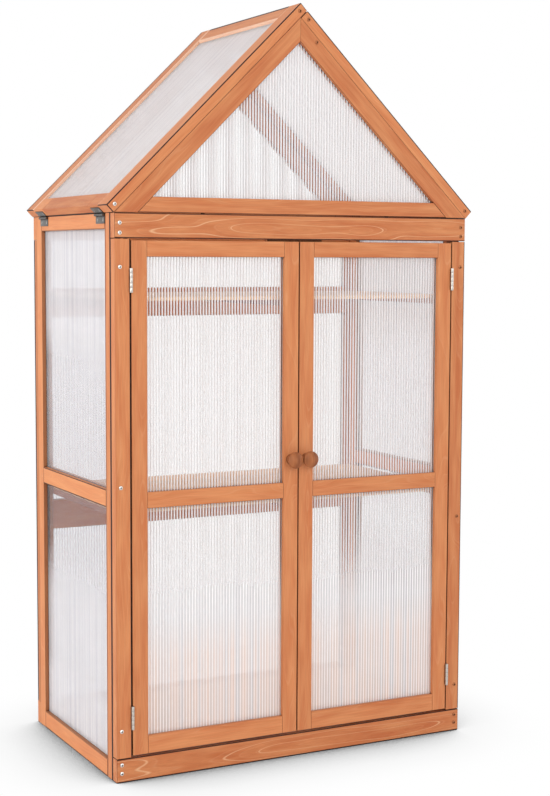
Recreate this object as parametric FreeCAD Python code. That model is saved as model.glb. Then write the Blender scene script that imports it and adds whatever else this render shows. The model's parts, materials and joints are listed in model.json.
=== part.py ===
import FreeCAD, Part
import math
import os
from FreeCAD import Vector

# A small wooden greenhouse: a cabinet with two glazed doors under a gable roof,
# whose two glazed halves lift on hinges at the eaves. Millimetres, +Z up, +Y to the rear.

# Cabinet
body_width = 760.0
body_depth = 450.0
body_height = 1060.0
frame_thick = 20.0
post_width = 30.0
foot_rail = 46.0
head_rail = 47.5
side_stile = 30.0
side_foot_rail = 34.0
side_mid_rail = 33.0
side_head_rail = 30.0
mid_rail_height = 514.5
rear_cross_rail = 60.0
rear_upper_rail_rise = 9.0
rear_lower_rail_drop = 38.0

# Glazing, a twin-wall sheet held in grooves
pane_thick = 4.0
pane_play = 0.2
pane_lap = 5.0
groove_depth = 6.0
wall_pane_setback = 8.0
roof_pane_setback = 5.0

# Doors
door_stile = 31.0
door_head_rail = 30.0
door_mid_rail = 30.0
door_foot_rail = 34.5
door_end_gap = 3.0
door_meeting_gap = 2.5
knob_height = 590.0

# Gables and roof
roof_slope = 44.4
rafter_width = 32.0
gable_rail = 30.0
roof_thick = 20.0
roof_stile = 46.0
roof_eave_rail = 33.0
roof_ridge_rail = 40.0
hinge_block_reach = 99.0
eave_overhang = 2.0
ridge_gap = 1.0

# Floor and shelves
floor_height = 38.0
lower_shelf_height = 510.0
upper_shelf_drop = 155.0
board_thick = 7.0
board_width = 62.0
board_gap = 6.0
board_end_play = 1.0
shelf_play = 3.0
cleat_thick = 12.0
cleat_width = 15.0
batten_width = 30.0

# Fasteners
screw_head_radius = 3.6
screw_head_height = 2.0
screw_radius = 1.8
screw_play = 0.05
screw_inset = 10.0
foot_screw_heights = (17.5, 34.0, 98.0)
head_screw_depths = (19.0, 37.0, 99.0)
left_middle_screw_height = 556.0
right_middle_screw_height = 451.0
roof_screw_inset = 12.5
frame_screw_length = 38.0
roof_screw_length = 45.0
apex_screw_length = 16.0
apex_screw_offset = 35.0
apex_screw_depth = 7.0
dowel_radius = 4.0
dowel_length = 30.0
gable_dowel_offset = 200.0

# Butt hinges
knuckle_count = 5
knuckle_gap = 0.3
pin_radius = 1.25
pin_running_gap = 0.05
leaf_thick = 1.0
door_barrel_radius = 3.0
door_hinge_length = 44.5
door_hinge_inset = 73.0
door_leaf_depth = 17.0
door_leaf_gap = 0.4
roof_barrel_radius = 2.6
roof_hinge_length = 44.0
roof_hinge_inset = 69.0
roof_leaf_depth = 16.0
barrel_wood_gap = 0.1
hinge_screw_head_radius = 2.6
hinge_screw_radius = 1.4
hinge_screw_length = 12.0
hinge_screw_spread = 28.0

# Knobs
knob_radius = 16.0
knob_reach = 29.0
knob_neck_radius = 8.0
knob_foot_radius = 10.0
knob_screw_grip = 14.0

# Door stop with its magnets and strike discs
stop_length = 120.0
stop_depth = 14.0
stop_drop = 18.0
stop_grip = 20.0
stop_play = 0.3
magnet_radius = 5.0
magnet_thick = 4.0
strike_radius = 6.0
strike_thick = 1.2
strike_nail_radius = 1.0
strike_nail_length = 8.0

# Wire hooks and screw eyes behind the roof
wire_radius = 1.1
ring_radius = 4.0
eye_neck = 1.5
eye_grip = 14.0
hook_length = 28.0
hook_bend_radius = 2.5
hook_play = 0.1
latch_along_slope = 222.0

# Values that follow from the sizes above
half_width = body_width / 2
latch_stand = ring_radius + wire_radius + eye_neck
latch_reach = latch_stand + ring_radius + wire_radius
front = (knob_reach - body_depth - latch_reach) / 2
back = front + body_depth
inner_front = front + frame_thick
inner_back = back - frame_thick
inner_half = half_width - frame_thick
post_inner = half_width - post_width
post_top = body_height - head_rail
upper_shelf_height = body_height - upper_shelf_drop
slope = math.radians(roof_slope)
run = Vector(math.cos(slope), 0, math.sin(slope))
rise = Vector(-math.sin(slope), 0, math.cos(slope))
apex_height = body_height + half_width * math.tan(slope)
groove_width = pane_thick + 2 * pane_play
door_hinge_gap = 2 * leaf_thick + door_leaf_gap
door_pin_x = post_inner - door_hinge_gap / 2
door_pin_y = front - door_barrel_radius - barrel_wood_gap
door_outer = post_inner - door_hinge_gap
door_inner = door_meeting_gap / 2
door_low = foot_rail + door_end_gap
door_high = post_top - door_end_gap
knob_x = door_inner + door_stile / 2

parts = {}


def keep(name, solids):
    """File solids under the node that they belong to."""
    parts.setdefault(name, []).extend(solids)


def box(low, high):
    """Block between two corners."""
    size = high - low
    return Part.makeBox(size.x, size.y, size.z, low)


def mirrored(solids):
    """The same pieces on the right-hand side."""
    return [solid.mirror(Vector(0, 0, 0), Vector(1, 0, 0)) for solid in solids]


def placed(solids, origin, x_axis, y_axis):
    """Carry solids from their own axes to a place in the greenhouse."""
    z_axis = x_axis.cross(y_axis)
    matrix = FreeCAD.Matrix(
        x_axis.x, y_axis.x, z_axis.x, origin.x,
        x_axis.y, y_axis.y, z_axis.y, origin.y,
        x_axis.z, y_axis.z, z_axis.z, origin.z,
        0, 0, 0, 1,
    )
    return [solid.transformed(matrix, copy=True) for solid in solids]


def cut_all(solids, tools):
    """Cut every tool that reaches a solid out of it."""
    result = []
    for solid in solids:
        near = [tool for tool in tools if solid.BoundBox.intersect(tool.BoundBox)]
        if near:
            solid = solid.cut(near).Solids[0]
        result.append(solid)
    return result


# Grooved frame members. In a frame's own axes X runs across it, Y up it and
# Z from its outer face inwards.


def member(low, high, thick, setback, grooves="", tenons=""):
    """One stile or rail, grooved on the sides that hold a pane and tongued where it meets a groove."""
    groove_low = setback - pane_play
    groove_high = groove_low + groove_width
    across = Vector(groove_depth, 0, 0)
    up = Vector(0, groove_depth, 0)
    corner_low = Vector(low[0], low[1], 0)
    corner_high = Vector(high[0], high[1], thick)
    solid = box(corner_low, corner_high)
    tongue_low = Vector(low[0], low[1], groove_low)
    tongue_high = Vector(high[0], high[1], groove_high)
    if "L" in tenons:
        solid = solid.fuse(box(tongue_low - across, Vector(low[0], high[1], groove_high)))
    if "R" in tenons:
        solid = solid.fuse(box(Vector(high[0], low[1], groove_low), tongue_high + across))
    if "B" in tenons:
        solid = solid.fuse(box(tongue_low - up, Vector(high[0], low[1], groove_high)))
    if "T" in tenons:
        solid = solid.fuse(box(Vector(low[0], high[1], groove_low), tongue_high + up))
    if "L" in grooves:
        solid = solid.cut(box(tongue_low - up, Vector(low[0], high[1], groove_high) + across + up))
    if "R" in grooves:
        solid = solid.cut(box(Vector(high[0], low[1], groove_low) - across - up, tongue_high + up))
    if "B" in grooves:
        solid = solid.cut(box(tongue_low - across, Vector(high[0], low[1], groove_high) + across + up))
    if "T" in grooves:
        solid = solid.cut(box(Vector(low[0], high[1], groove_low) - across - up, tongue_high + across))
    return solid.removeSplitter().Solids[0]


def pane(low, high, setback):
    """Sheet that fills an opening and enters the grooves round it."""
    return box(
        Vector(low[0] - pane_lap, low[1] - pane_lap, setback),
        Vector(high[0] + pane_lap, high[1] + pane_lap, setback + pane_thick),
    )


def glazed_frame(width, height, stile, rails, thick, setback):
    """Frame with full-height stiles, rails between them and a pane in each opening."""
    stiles = [
        member((0, 0), (stile, height), thick, setback, grooves="R"),
        member((width - stile, 0), (width, height), thick, setback, grooves="L"),
    ]
    cross = []
    panes = []
    last = len(rails) - 1
    for index, (low, high) in enumerate(rails):
        sides = ("" if index == 0 else "B") + ("" if index == last else "T")
        cross.append(member((stile, low), (width - stile, high), thick, setback, sides, "LR"))
        if index < last:
            panes.append(pane((stile, high), (width - stile, rails[index + 1][0]), setback))
    return stiles, cross, panes


# Fasteners. In their own axes +Z points out of the wood and the head seats at zero.


def crown(radius, low, high):
    """Shallow spherical crown from a rim to its top on the axis."""
    rise_height = high - low
    sphere = (radius**2 + rise_height**2) / (2 * rise_height)
    half_angle = math.asin(radius / sphere) / 2
    middle = Vector(sphere * math.sin(half_angle), 0, high - sphere + sphere * math.cos(half_angle))
    return Part.Arc(Vector(radius, 0, low), middle, Vector(0, 0, high)).toShape()


def pan_screw(at, out, length):
    """Pan-head screw with a cross recess, its head on the wood."""
    dome = screw_head_height * 0.4
    profile = Part.Wire([
        Part.makeLine(Vector(0, 0, 0), Vector(screw_head_radius, 0, 0)),
        Part.makeLine(Vector(screw_head_radius, 0, 0), Vector(screw_head_radius, 0, dome)),
        crown(screw_head_radius, dome, screw_head_height),
        Part.makeLine(Vector(0, 0, screw_head_height), Vector(0, 0, 0)),
    ])
    head = Part.Face(profile).revolve(Vector(0, 0, 0), Vector(0, 0, 1), 360)
    tip = screw_radius * 2
    shank = Part.makeCylinder(screw_radius, length - tip, Vector(0, 0, tip - length))
    point = Part.makeCone(screw_radius / 4, screw_radius, tip, Vector(0, 0, -length))
    body = head.fuse([shank, point])
    arm = screw_head_radius * 0.6
    slot = screw_head_radius * 0.14
    floor = screw_head_height * 0.35
    top = screw_head_height * 1.1
    body = body.cut([
        box(Vector(-arm, -slot, floor), Vector(arm, slot, top)),
        box(Vector(-slot, -arm, floor), Vector(slot, arm, top)),
    ])
    return turned_to(body.Solids[0], at, out)


def sunk_screw(at, out, length):
    """Flat-head screw whose cone fills the countersink of a hinge leaf."""
    head = Part.makeCone(hinge_screw_radius, hinge_screw_head_radius, leaf_thick)
    tip = hinge_screw_radius * 2
    shank = Part.makeCylinder(hinge_screw_radius, length - tip, Vector(0, 0, tip - length))
    point = Part.makeCone(hinge_screw_radius / 4, hinge_screw_radius, tip, Vector(0, 0, -length))
    body = head.fuse([shank, point])
    arm = hinge_screw_head_radius * 0.55
    slot = hinge_screw_head_radius * 0.13
    body = body.cut([
        box(Vector(-arm, -slot, leaf_thick * 0.4), Vector(arm, slot, leaf_thick * 1.1)),
        box(Vector(-slot, -arm, leaf_thick * 0.4), Vector(slot, arm, leaf_thick * 1.1)),
    ])
    return turned_to(body.Solids[0], at, out)


def bore(at, out, radius, length):
    """Hole for a shank, from the seat of its head inwards."""
    return Part.makeCylinder(radius + screw_play, length + screw_play, at, out * -1)


def turned_to(solid, at, out):
    """Stand a solid made along +Z on a point, with its +Z along out."""
    side = Vector(0, 0, 1) if abs(out.z) < 0.5 else Vector(0, 1, 0)
    x_axis = side.cross(out).normalize()
    y_axis = out.cross(x_axis)
    return placed([solid], at, x_axis, y_axis)[0]


# Butt hinges. In a leaf's own axes the pin runs along Y through zero, the leaf
# reaches along +X and the wood lies at the height `stand` on +Z.


def knuckle_spans(length):
    """Stretch of the barrel that each knuckle takes."""
    pitch = length / knuckle_count
    half_gap = knuckle_gap / 2
    return [
        (-length / 2 + index * pitch + half_gap, -length / 2 + (index + 1) * pitch - half_gap)
        for index in range(knuckle_count)
    ]


def leaf(reach, length, stand, barrel, first, hole_x):
    """Leaf with its share of the knuckles, bored for the pin and countersunk for two screws."""
    low = stand - leaf_thick
    root = barrel + knuckle_gap
    solid = box(Vector(root, -length / 2, low), Vector(reach, length / 2, stand))
    for index, (start, end) in enumerate(knuckle_spans(length)):
        if index % 2 == first:
            solid = solid.fuse([
                Part.makeCylinder(barrel, end - start, Vector(0, start, 0), Vector(0, 1, 0)),
                box(Vector(0, start, low), Vector(root, end, stand)),
            ])
    solid = solid.cut(Part.makeCylinder(
        pin_radius + pin_running_gap, length, Vector(0, -length / 2, 0), Vector(0, 1, 0)
    ))
    for side in (-1, 1):
        seat = Vector(hole_x, side * hinge_screw_spread / 2, stand)
        solid = solid.cut(Part.makeCone(
            hinge_screw_radius, hinge_screw_head_radius, leaf_thick, seat, Vector(0, 0, -1)
        ))
    return solid.removeSplitter().Solids[0]


def leaf_screws(hole_x, stand, length):
    """Two screws through a leaf, and the holes that they need in the wood."""
    out = Vector(0, 0, -1)
    seats = [Vector(hole_x, side * hinge_screw_spread / 2, stand) for side in (-1, 1)]
    screws = [sunk_screw(seat, out, length) for seat in seats]
    holes = [bore(seat, out, hinge_screw_radius, length) for seat in seats]
    return screws, holes


def hinge_pin(at, axis, length):
    """Pin the length of the barrel."""
    return Part.makeCylinder(pin_radius, length, at - axis * (length / 2), axis)


# Wire hooks and screw eyes. In their own axes the wall is the plane Y = 0 and +Y
# points away from it.


def screw_eye():
    """Eye of round wire, its ring upright and square to the wall, its shank in the wood."""
    ring = Part.makeTorus(ring_radius, wire_radius, Vector(0, latch_stand, 0), Vector(1, 0, 0))
    shank = Part.makeCylinder(
        wire_radius, eye_grip + latch_stand - ring_radius, Vector(0, -eye_grip, 0), Vector(0, 1, 0)
    )
    return ring.fuse(shank).Solids[0]


def wire_hook():
    """Hook that hangs in an eye, its tip turned towards the wall; zero is the wire it hangs on."""
    loop_centre = 2 * wire_radius + hook_play - ring_radius
    loop = Part.makeTorus(ring_radius, wire_radius, Vector(0, 0, loop_centre), Vector(0, 1, 0))
    stem_top = loop_centre - ring_radius
    stem_foot = hook_bend_radius - hook_length
    stem = Part.makeCylinder(wire_radius, stem_top - stem_foot, Vector(0, 0, stem_foot))
    bend_centre = Vector(0, -hook_bend_radius, stem_foot)
    section = Part.Face(Part.Wire(Part.makeCircle(wire_radius, Vector(0, 0, stem_foot))))
    bend = section.revolve(bend_centre, Vector(1, 0, 0), -90)
    tip_reach = latch_stand - hook_bend_radius - eye_neck
    tip = Part.makeCylinder(
        wire_radius, tip_reach, Vector(0, -hook_bend_radius, -hook_length), Vector(0, -1, 0)
    )
    return loop.fuse([stem, bend, tip]).removeSplitter().Solids[0]


# Rows of screws that hold the front and rear frames to the side frames, by height


def frame_screw_heights(side):
    """Heights of the screws in one corner; the middle one sits higher on the left."""
    middle = left_middle_screw_height if side < 0 else right_middle_screw_height
    return list(foot_screw_heights) + [middle] + [body_height - depth for depth in head_screw_depths]


frame_screws = {"front": [], "rear": []}
frame_bores = {"front": [], "rear": []}
for name, face, out in (("front", front, Vector(0, -1, 0)), ("rear", back, Vector(0, 1, 0))):
    for side in (-1, 1):
        for height in frame_screw_heights(side):
            seat = Vector(side * (half_width - screw_inset), face, height)
            frame_screws[name].append(pan_screw(seat, out, frame_screw_length))
            frame_bores[name].append(bore(seat, out, screw_radius, frame_screw_length))

# Door hinges on the left post, in place
door_hinge_heights = [door_low + door_hinge_inset, door_high - door_hinge_inset]
door_reach = door_barrel_radius + barrel_wood_gap + door_leaf_depth
door_hole_x = door_barrel_radius + barrel_wood_gap + door_leaf_depth / 2
door_leaf = {
    "post": leaf(door_reach, door_hinge_length, door_hinge_gap / 2, door_barrel_radius, 0, door_hole_x),
    "door": leaf(door_reach, door_hinge_length, door_hinge_gap / 2, door_barrel_radius, 1, door_hole_x),
}
door_screws, door_holes = leaf_screws(door_hole_x, door_hinge_gap / 2, hinge_screw_length)
door_hardware = {"post": ([], [], []), "door": ([], [], [])}
door_pins = []
for height in door_hinge_heights:
    pivot = Vector(-door_pin_x, door_pin_y, height)
    door_pins.append(hinge_pin(pivot, Vector(0, 0, 1), door_hinge_length))
    for name, up in (("post", Vector(0, 0, -1)), ("door", Vector(0, 0, 1))):
        leaves, screws, holes = door_hardware[name]
        leaves.extend(placed([door_leaf[name]], pivot, Vector(0, 1, 0), up))
        screws.extend(placed(door_screws, pivot, Vector(0, 1, 0), up))
        holes.extend(placed(door_holes, pivot, Vector(0, 1, 0), up))

# Roof hinges on the left eave, in place
eave_corner = Vector(-half_width, 0, body_height) - run * eave_overhang
roof_stand = roof_barrel_radius + barrel_wood_gap
roof_pin_x = -half_width - roof_stand
roof_pin_z = eave_corner.z - (roof_stand + (roof_pin_x - eave_corner.x) * run.x) / run.z
roof_hinge_places = [front + roof_hinge_inset, back - roof_hinge_inset]
roof_hole_x = roof_barrel_radius + (roof_leaf_depth - roof_barrel_radius) / 2
roof_leaf = {
    "wall": leaf(roof_leaf_depth, roof_hinge_length, roof_stand, roof_barrel_radius, 0, roof_hole_x),
    "roof": leaf(roof_leaf_depth, roof_hinge_length, roof_stand, roof_barrel_radius, 1, roof_hole_x),
}
roof_screws, roof_holes = leaf_screws(roof_hole_x, roof_stand, hinge_screw_length)
roof_hardware = {"wall": ([], [], []), "roof": ([], [], [])}
roof_pins = []
for place_y in roof_hinge_places:
    pivot = Vector(roof_pin_x, place_y, roof_pin_z)
    roof_pins.append(hinge_pin(pivot, Vector(0, 1, 0), roof_hinge_length))
    for name, reach_axis, pin_axis in (
        ("wall", Vector(0, 0, -1), Vector(0, 1, 0)),
        ("roof", rise, Vector(0, -1, 0)),
    ):
        leaves, screws, holes = roof_hardware[name]
        leaves.extend(placed([roof_leaf[name]], pivot, reach_axis, pin_axis))
        screws.extend(placed(roof_screws, pivot, reach_axis, pin_axis))
        holes.extend(placed(roof_holes, pivot, reach_axis, pin_axis))

# Dowels in the post ends and under the gables
dowels = []
for x in (-post_inner - post_width / 2, post_inner + post_width / 2):
    for z in (foot_rail, post_top):
        dowels.append(Vector(x - math.copysign(screw_inset, x), inner_front - frame_thick / 2, z))
for x in (-gable_dowel_offset, gable_dowel_offset):
    for y in (front + frame_thick / 2, back - frame_thick / 2):
        dowels.append(Vector(x, y, body_height))
dowels = [
    Part.makeCylinder(dowel_radius, dowel_length, at - Vector(0, 0, dowel_length / 2)) for at in dowels
]
keep("dowels", dowels)


def front_frame():
    """Posts between full-width rails; the doors fill it."""
    tools = frame_bores["front"] + dowels + door_hardware["post"][2] + mirrored(door_hardware["post"][2])
    posts = [
        box(Vector(-half_width, front, foot_rail), Vector(-post_inner, inner_front, post_top)),
        box(Vector(post_inner, front, foot_rail), Vector(half_width, inner_front, post_top)),
    ]
    rails = [
        box(Vector(-half_width, front, 0), Vector(half_width, inner_front, foot_rail)),
        box(Vector(-half_width, front, post_top), Vector(half_width, inner_front, body_height)),
    ]
    keep("front_posts", cut_all(posts, tools))
    keep("front_rails", cut_all(rails, tools))


def rear_frame():
    """Posts between full-width rails, two broad cross rails and three panes."""
    setback = wall_pane_setback
    levels = [
        (lower_shelf_height - rear_lower_rail_drop - rear_cross_rail, lower_shelf_height - rear_lower_rail_drop),
        (upper_shelf_height + rear_upper_rail_rise - rear_cross_rail, upper_shelf_height + rear_upper_rail_rise),
    ]
    posts = [
        member((-half_width, foot_rail), (-post_inner, post_top), frame_thick, setback, "R", "BT"),
        member((post_inner, foot_rail), (half_width, post_top), frame_thick, setback, "L", "BT"),
    ]
    rails = [
        member((-half_width, 0), (half_width, foot_rail), frame_thick, setback, "T"),
        member((-half_width, post_top), (half_width, body_height), frame_thick, setback, "B"),
    ]
    cross = [
        member((-post_inner, low), (post_inner, high), frame_thick, setback, "BT", "LR")
        for low, high in levels
    ]
    edges = [foot_rail] + [edge for level in levels for edge in level] + [post_top]
    panes = [
        pane((-post_inner, edges[index]), (post_inner, edges[index + 1]), setback)
        for index in range(0, len(edges), 2)
    ]
    origin = Vector(0, back, 0)
    tools = frame_bores["rear"] + dowels
    for name, solids in (
        ("rear_posts", posts), ("rear_rails", rails + cross), ("rear_panes", panes),
    ):
        keep(name, cut_all(placed(solids, origin, Vector(1, 0, 0), Vector(0, 0, 1)), tools))


def side_frames():
    """Glazed frame each side, between the front and rear frames."""
    rails = [
        (0, side_foot_rail),
        (mid_rail_height, mid_rail_height + side_mid_rail),
        (body_height - side_head_rail, body_height),
    ]
    groups = glazed_frame(
        body_depth - 2 * frame_thick, body_height, side_stile, rails, frame_thick, wall_pane_setback
    )
    origin = Vector(-half_width, inner_front, 0)
    tools = frame_bores["front"] + frame_bores["rear"] + roof_hardware["wall"][2]
    tools_left = tools
    tools_right = frame_bores["front"] + frame_bores["rear"] + mirrored(roof_hardware["wall"][2])
    for name, solids in zip(("side_stiles", "side_rails", "side_panes"), groups):
        left = placed(solids, origin, Vector(0, 1, 0), Vector(0, 0, 1))
        keep(name, cut_all(left, tools_left) + cut_all(mirrored(left), tools_right))


def prism(points, low_y, high_y):
    """Straight-sided block with its outline in the XZ plane."""
    outline = [Vector(x, low_y, z) for x, z in points]
    face = Part.Face(Part.makePolygon(outline + outline[:1]))
    return face.extrude(Vector(0, high_y - low_y, 0)).Solids[0]


def slope_x(z, depth):
    """Half-width at a height of the line that lies a depth under the roof's seat."""
    return half_width - (z - body_height) / math.tan(slope) - depth / math.sin(slope)


def slope_z(x, depth):
    """Height, a distance from the middle, of the line that lies a depth under the roof's seat."""
    return apex_height - abs(x) * math.tan(slope) - depth / math.cos(slope)


def gable_triangle(inset):
    """Triangle of the gable's opening, grown by an inset into its members."""
    low = body_height + gable_rail - inset
    reach = slope_x(low, rafter_width - inset)
    return [(-reach, low), (reach, low), (0, slope_z(0, rafter_width - inset))]


def gable(face, inward, out):
    """Gable of two mitred rafters, a rail between their feet and a triangular pane."""
    low_y, high_y = sorted((face, face + inward * frame_thick))
    pane_y = sorted((face + inward * wall_pane_setback, face + inward * (wall_pane_setback + pane_thick)))
    top = body_height + gable_rail
    rafter = prism(
        [
            (-half_width, body_height),
            (0, apex_height),
            (0, slope_z(0, rafter_width)),
            (-slope_x(body_height, rafter_width), body_height),
        ],
        low_y, high_y,
    )
    rail = prism(
        [
            (-slope_x(body_height, rafter_width), body_height),
            (slope_x(body_height, rafter_width), body_height),
            (slope_x(top, rafter_width), top),
            (-slope_x(top, rafter_width), top),
        ],
        low_y, high_y,
    )
    groove = prism(gable_triangle(groove_depth), pane_y[0] - pane_play, pane_y[1] + pane_play)
    seat = Vector(apex_screw_offset, face, slope_z(apex_screw_offset, apex_screw_depth))
    screw = pan_screw(seat, out, apex_screw_length)
    hole = bore(seat, out, screw_radius, apex_screw_length)
    tools = [groove, hole] + dowels + (latch_bores if inward < 0 else [])
    keep("gable_rafters", cut_all([rafter] + mirrored([rafter]), tools))
    keep("gable_rails", cut_all([rail], tools))
    keep("gable_panes", [prism(gable_triangle(pane_lap), pane_y[0], pane_y[1])])
    keep("gable_screws", [screw])


def door():
    """Left door: grooved frame, two panes, a turned knob, hinge leaves and a strike disc."""
    width = door_outer - door_inner
    height = door_high - door_low
    mid_low = mid_rail_height - door_low
    rails = [
        (0, door_foot_rail),
        (mid_low, mid_low + door_mid_rail),
        (height - door_head_rail, height),
    ]
    stiles, cross, panes = glazed_frame(width, height, door_stile, rails, frame_thick, wall_pane_setback)
    origin = Vector(-door_inner, front, door_low)
    screw_at = Vector(-knob_x, inner_front, knob_height)
    knob_length = frame_thick + knob_screw_grip
    knob_screw = pan_screw(screw_at, Vector(0, 1, 0), knob_length)
    knob_bore = bore(screw_at, Vector(0, 1, 0), screw_radius, knob_length)
    strike_at = Vector(-knob_x, inner_front, post_top - stop_drop / 2)
    strike = Part.makeCylinder(strike_radius, strike_thick, strike_at, Vector(0, 1, 0))
    nail = Part.makeCylinder(strike_nail_radius, strike_nail_length, strike_at, Vector(0, -1, 0))
    tools = door_hardware["door"][2] + [knob_bore, nail]
    names = ("door_stiles", "door_rails", "door_panes")
    for name, solids in zip(names, (stiles, cross, panes)):
        solids = cut_all(placed(solids, origin, Vector(-1, 0, 0), Vector(0, 0, 1)), tools)
        keep("left_" + name, solids)
        keep("right_" + name, mirrored(solids))
    for name, solids in (
        ("door_hinge_leaves", door_hardware["door"][0]),
        ("door_hinge_screws", door_hardware["door"][1]),
        ("knob", cut_all([knob()], [knob_bore])),
        ("knob_screw", [knob_screw]),
        ("strike", [strike.fuse(nail).Solids[0]]),
    ):
        keep("left_" + name, solids)
        keep("right_" + name, mirrored(solids))


def knob():
    """Turned mushroom knob on the left door's meeting stile."""
    collar = knob_reach * 0.1
    waist = knob_reach * 0.32
    under = knob_reach * 0.62
    rim = knob_reach * 0.78
    foot_top = Vector(knob_foot_radius, 0, collar)
    neck = Vector(knob_neck_radius, 0, waist)
    lip = Vector(knob_radius * 0.97, 0, under)
    shoulder = Vector(knob_radius * 0.93, 0, rim)
    profile = Part.Wire([
        Part.makeLine(Vector(0, 0, 0), Vector(knob_foot_radius, 0, 0)),
        Part.makeLine(Vector(knob_foot_radius, 0, 0), foot_top),
        Part.makeLine(foot_top, neck),
        Part.Arc(neck, Vector((neck.x + lip.x) / 2, 0, waist + (under - waist) * 0.62), lip).toShape(),
        Part.Arc(lip, Vector(knob_radius, 0, (under + rim) / 2), shoulder).toShape(),
        crown(shoulder.x, rim, knob_reach),
        Part.makeLine(Vector(0, 0, knob_reach), Vector(0, 0, 0)),
    ])
    solid = Part.Face(profile).revolve(Vector(0, 0, 0), Vector(0, 0, 1), 360).Solids[0]
    return turned_to(solid, Vector(-knob_x, front, knob_height), Vector(0, -1, 0))


def door_stop():
    """Strip behind the head rail that the doors close on, with two magnets let into it."""
    rebate = strike_thick + stop_play
    upper = box(
        Vector(-stop_length / 2, inner_front, post_top),
        Vector(stop_length / 2, inner_front + stop_depth, post_top + stop_grip),
    )
    lower = box(
        Vector(-stop_length / 2, inner_front + rebate, post_top - stop_drop),
        Vector(stop_length / 2, inner_front + stop_depth, post_top),
    )
    magnets = [
        Part.makeCylinder(
            magnet_radius, magnet_thick,
            Vector(side * knob_x, inner_front + rebate, post_top - stop_drop / 2), Vector(0, 1, 0),
        )
        for side in (-1, 1)
    ]
    keep("door_stop", cut_all([upper.fuse(lower).removeSplitter().Solids[0]], magnets))
    keep("magnets", magnets)


def shelf(name, top):
    """Level of boards laid across two side cleats and a middle batten."""
    low_y = inner_front + shelf_play
    high_y = inner_back - shelf_play
    reach = inner_half - board_end_play
    count = int((high_y - low_y + board_gap) / (board_width + board_gap))
    spare = high_y - low_y - count * board_width
    pitch = board_width + spare / (count - 1)
    under = top - board_thick
    keep(name, [
        box(
            Vector(-reach, low_y + index * pitch, under),
            Vector(reach, low_y + index * pitch + board_width, top),
        )
        for index in range(count)
    ])
    left = box(
        Vector(-inner_half, inner_front, under - cleat_thick),
        Vector(cleat_width - inner_half, inner_back, under),
    )
    keep("shelf_cleats", [left] + mirrored([left]))
    keep("shelf_battens", [box(
        Vector(-batten_width / 2, low_y, under - cleat_thick),
        Vector(batten_width / 2, high_y, under),
    )])


def roof_half(side_name, length):
    """Left-hand roof panel of a given slope length, built lying on the rafters."""
    width = body_depth
    stiles, cross, panes = glazed_frame(
        width, length, roof_stile,
        [(0, roof_eave_rail), (length - roof_ridge_rail, length)],
        roof_thick, roof_pane_setback,
    )
    cuts = [hinge_block_reach, width - hinge_block_reach]
    eave = []
    for low, high in zip([-1.0] + cuts, cuts + [width + 1.0]):
        slab = box(Vector(low, -1, -1), Vector(high, roof_eave_rail + 1, roof_thick + 1))
        eave.extend(cross[0].common(slab).Solids)
    origin = eave_corner + rise * roof_thick + Vector(0, front, 0)
    seats = []
    for y, out in ((front, Vector(0, -1, 0)), (back, Vector(0, 1, 0))):
        for along in (roof_screw_inset, length - roof_screw_inset):
            at = eave_corner + run * along + rise * (roof_thick / 2)
            seats.append((Vector(at.x, y, at.z), out))
    screws = [pan_screw(at, out, roof_screw_length) for at, out in seats]
    bores = [bore(at, out, screw_radius, roof_screw_length) for at, out in seats]
    tools = bores + roof_hardware["roof"][2] + latch_bores
    sided = (lambda solids: solids) if side_name == "left" else mirrored
    for name, solids in (
        ("roof_stiles", stiles), ("roof_eave_rail", eave), ("roof_ridge_rail", cross[1:]), ("roof_pane", panes),
    ):
        solids = cut_all(placed(solids, origin, Vector(0, 1, 0), run), tools)
        keep(side_name + "_" + name, sided(solids))
    for name, solids in (
        ("roof_hinge_leaves", roof_hardware["roof"][0]),
        ("roof_hinge_screws", roof_hardware["roof"][1]),
        ("roof_screws", screws),
        ("roof_eye", placed([screw_eye()], latch_eye, Vector(1, 0, 0), Vector(0, 1, 0))),
        ("hook", placed([wire_hook()], hook_pivot, Vector(1, 0, 0), Vector(0, 1, 0))),
    ):
        keep(side_name + "_" + name, sided(solids))


# Latch places: one eye in the panel's rear edge, one a hook's length below it in the rafter
latch_point = eave_corner + run * latch_along_slope + rise * (roof_thick / 2)
latch_eye = Vector(latch_point.x, back, latch_point.z)
hook_pivot = latch_eye + Vector(0, latch_stand, -ring_radius)
rafter_eye = latch_eye - rise * hook_length
eye_bores = [
    Part.makeCylinder(wire_radius, eye_grip, at - Vector(0, eye_grip, 0), Vector(0, 1, 0))
    for at in (latch_eye, rafter_eye)
]
latch_bores = eye_bores + mirrored(eye_bores)
rafter_eyes = placed([screw_eye()], rafter_eye, Vector(1, 0, 0), Vector(0, 1, 0))
keep("rafter_eyes", rafter_eyes + mirrored(rafter_eyes))

front_frame()
rear_frame()
side_frames()
gable(front, 1, Vector(0, -1, 0))
gable(back, -1, Vector(0, 1, 0))
door()
door_stop()
shelf("floor_boards", floor_height)
shelf("shelf_boards", lower_shelf_height)
shelf("shelf_boards", upper_shelf_height)

# The left panel laps over the right one at the ridge
seat_length = half_width / math.cos(slope)
lap_length = eave_overhang + seat_length + roof_thick * math.tan(slope)
lean = roof_thick * math.cos(2 * slope)
butt_length = eave_overhang + seat_length - (ridge_gap + max(0.0, lean)) / math.sin(2 * slope)
roof_half("left", lap_length)
roof_half("right", butt_length)

keep("frame_screws", frame_screws["front"] + frame_screws["rear"])
keep("door_post_leaves", door_hardware["post"][0] + mirrored(door_hardware["post"][0]))
keep("door_hinge_pins", door_pins + mirrored(door_pins))
keep("roof_wall_leaves", roof_hardware["wall"][0] + mirrored(roof_hardware["wall"][0]))
keep("hinge_screws", door_hardware["post"][1] + mirrored(door_hardware["post"][1]))
keep("hinge_screws", roof_hardware["wall"][1] + mirrored(roof_hardware["wall"][1]))
keep("roof_hinge_pins", roof_pins + mirrored(roof_pins))

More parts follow.
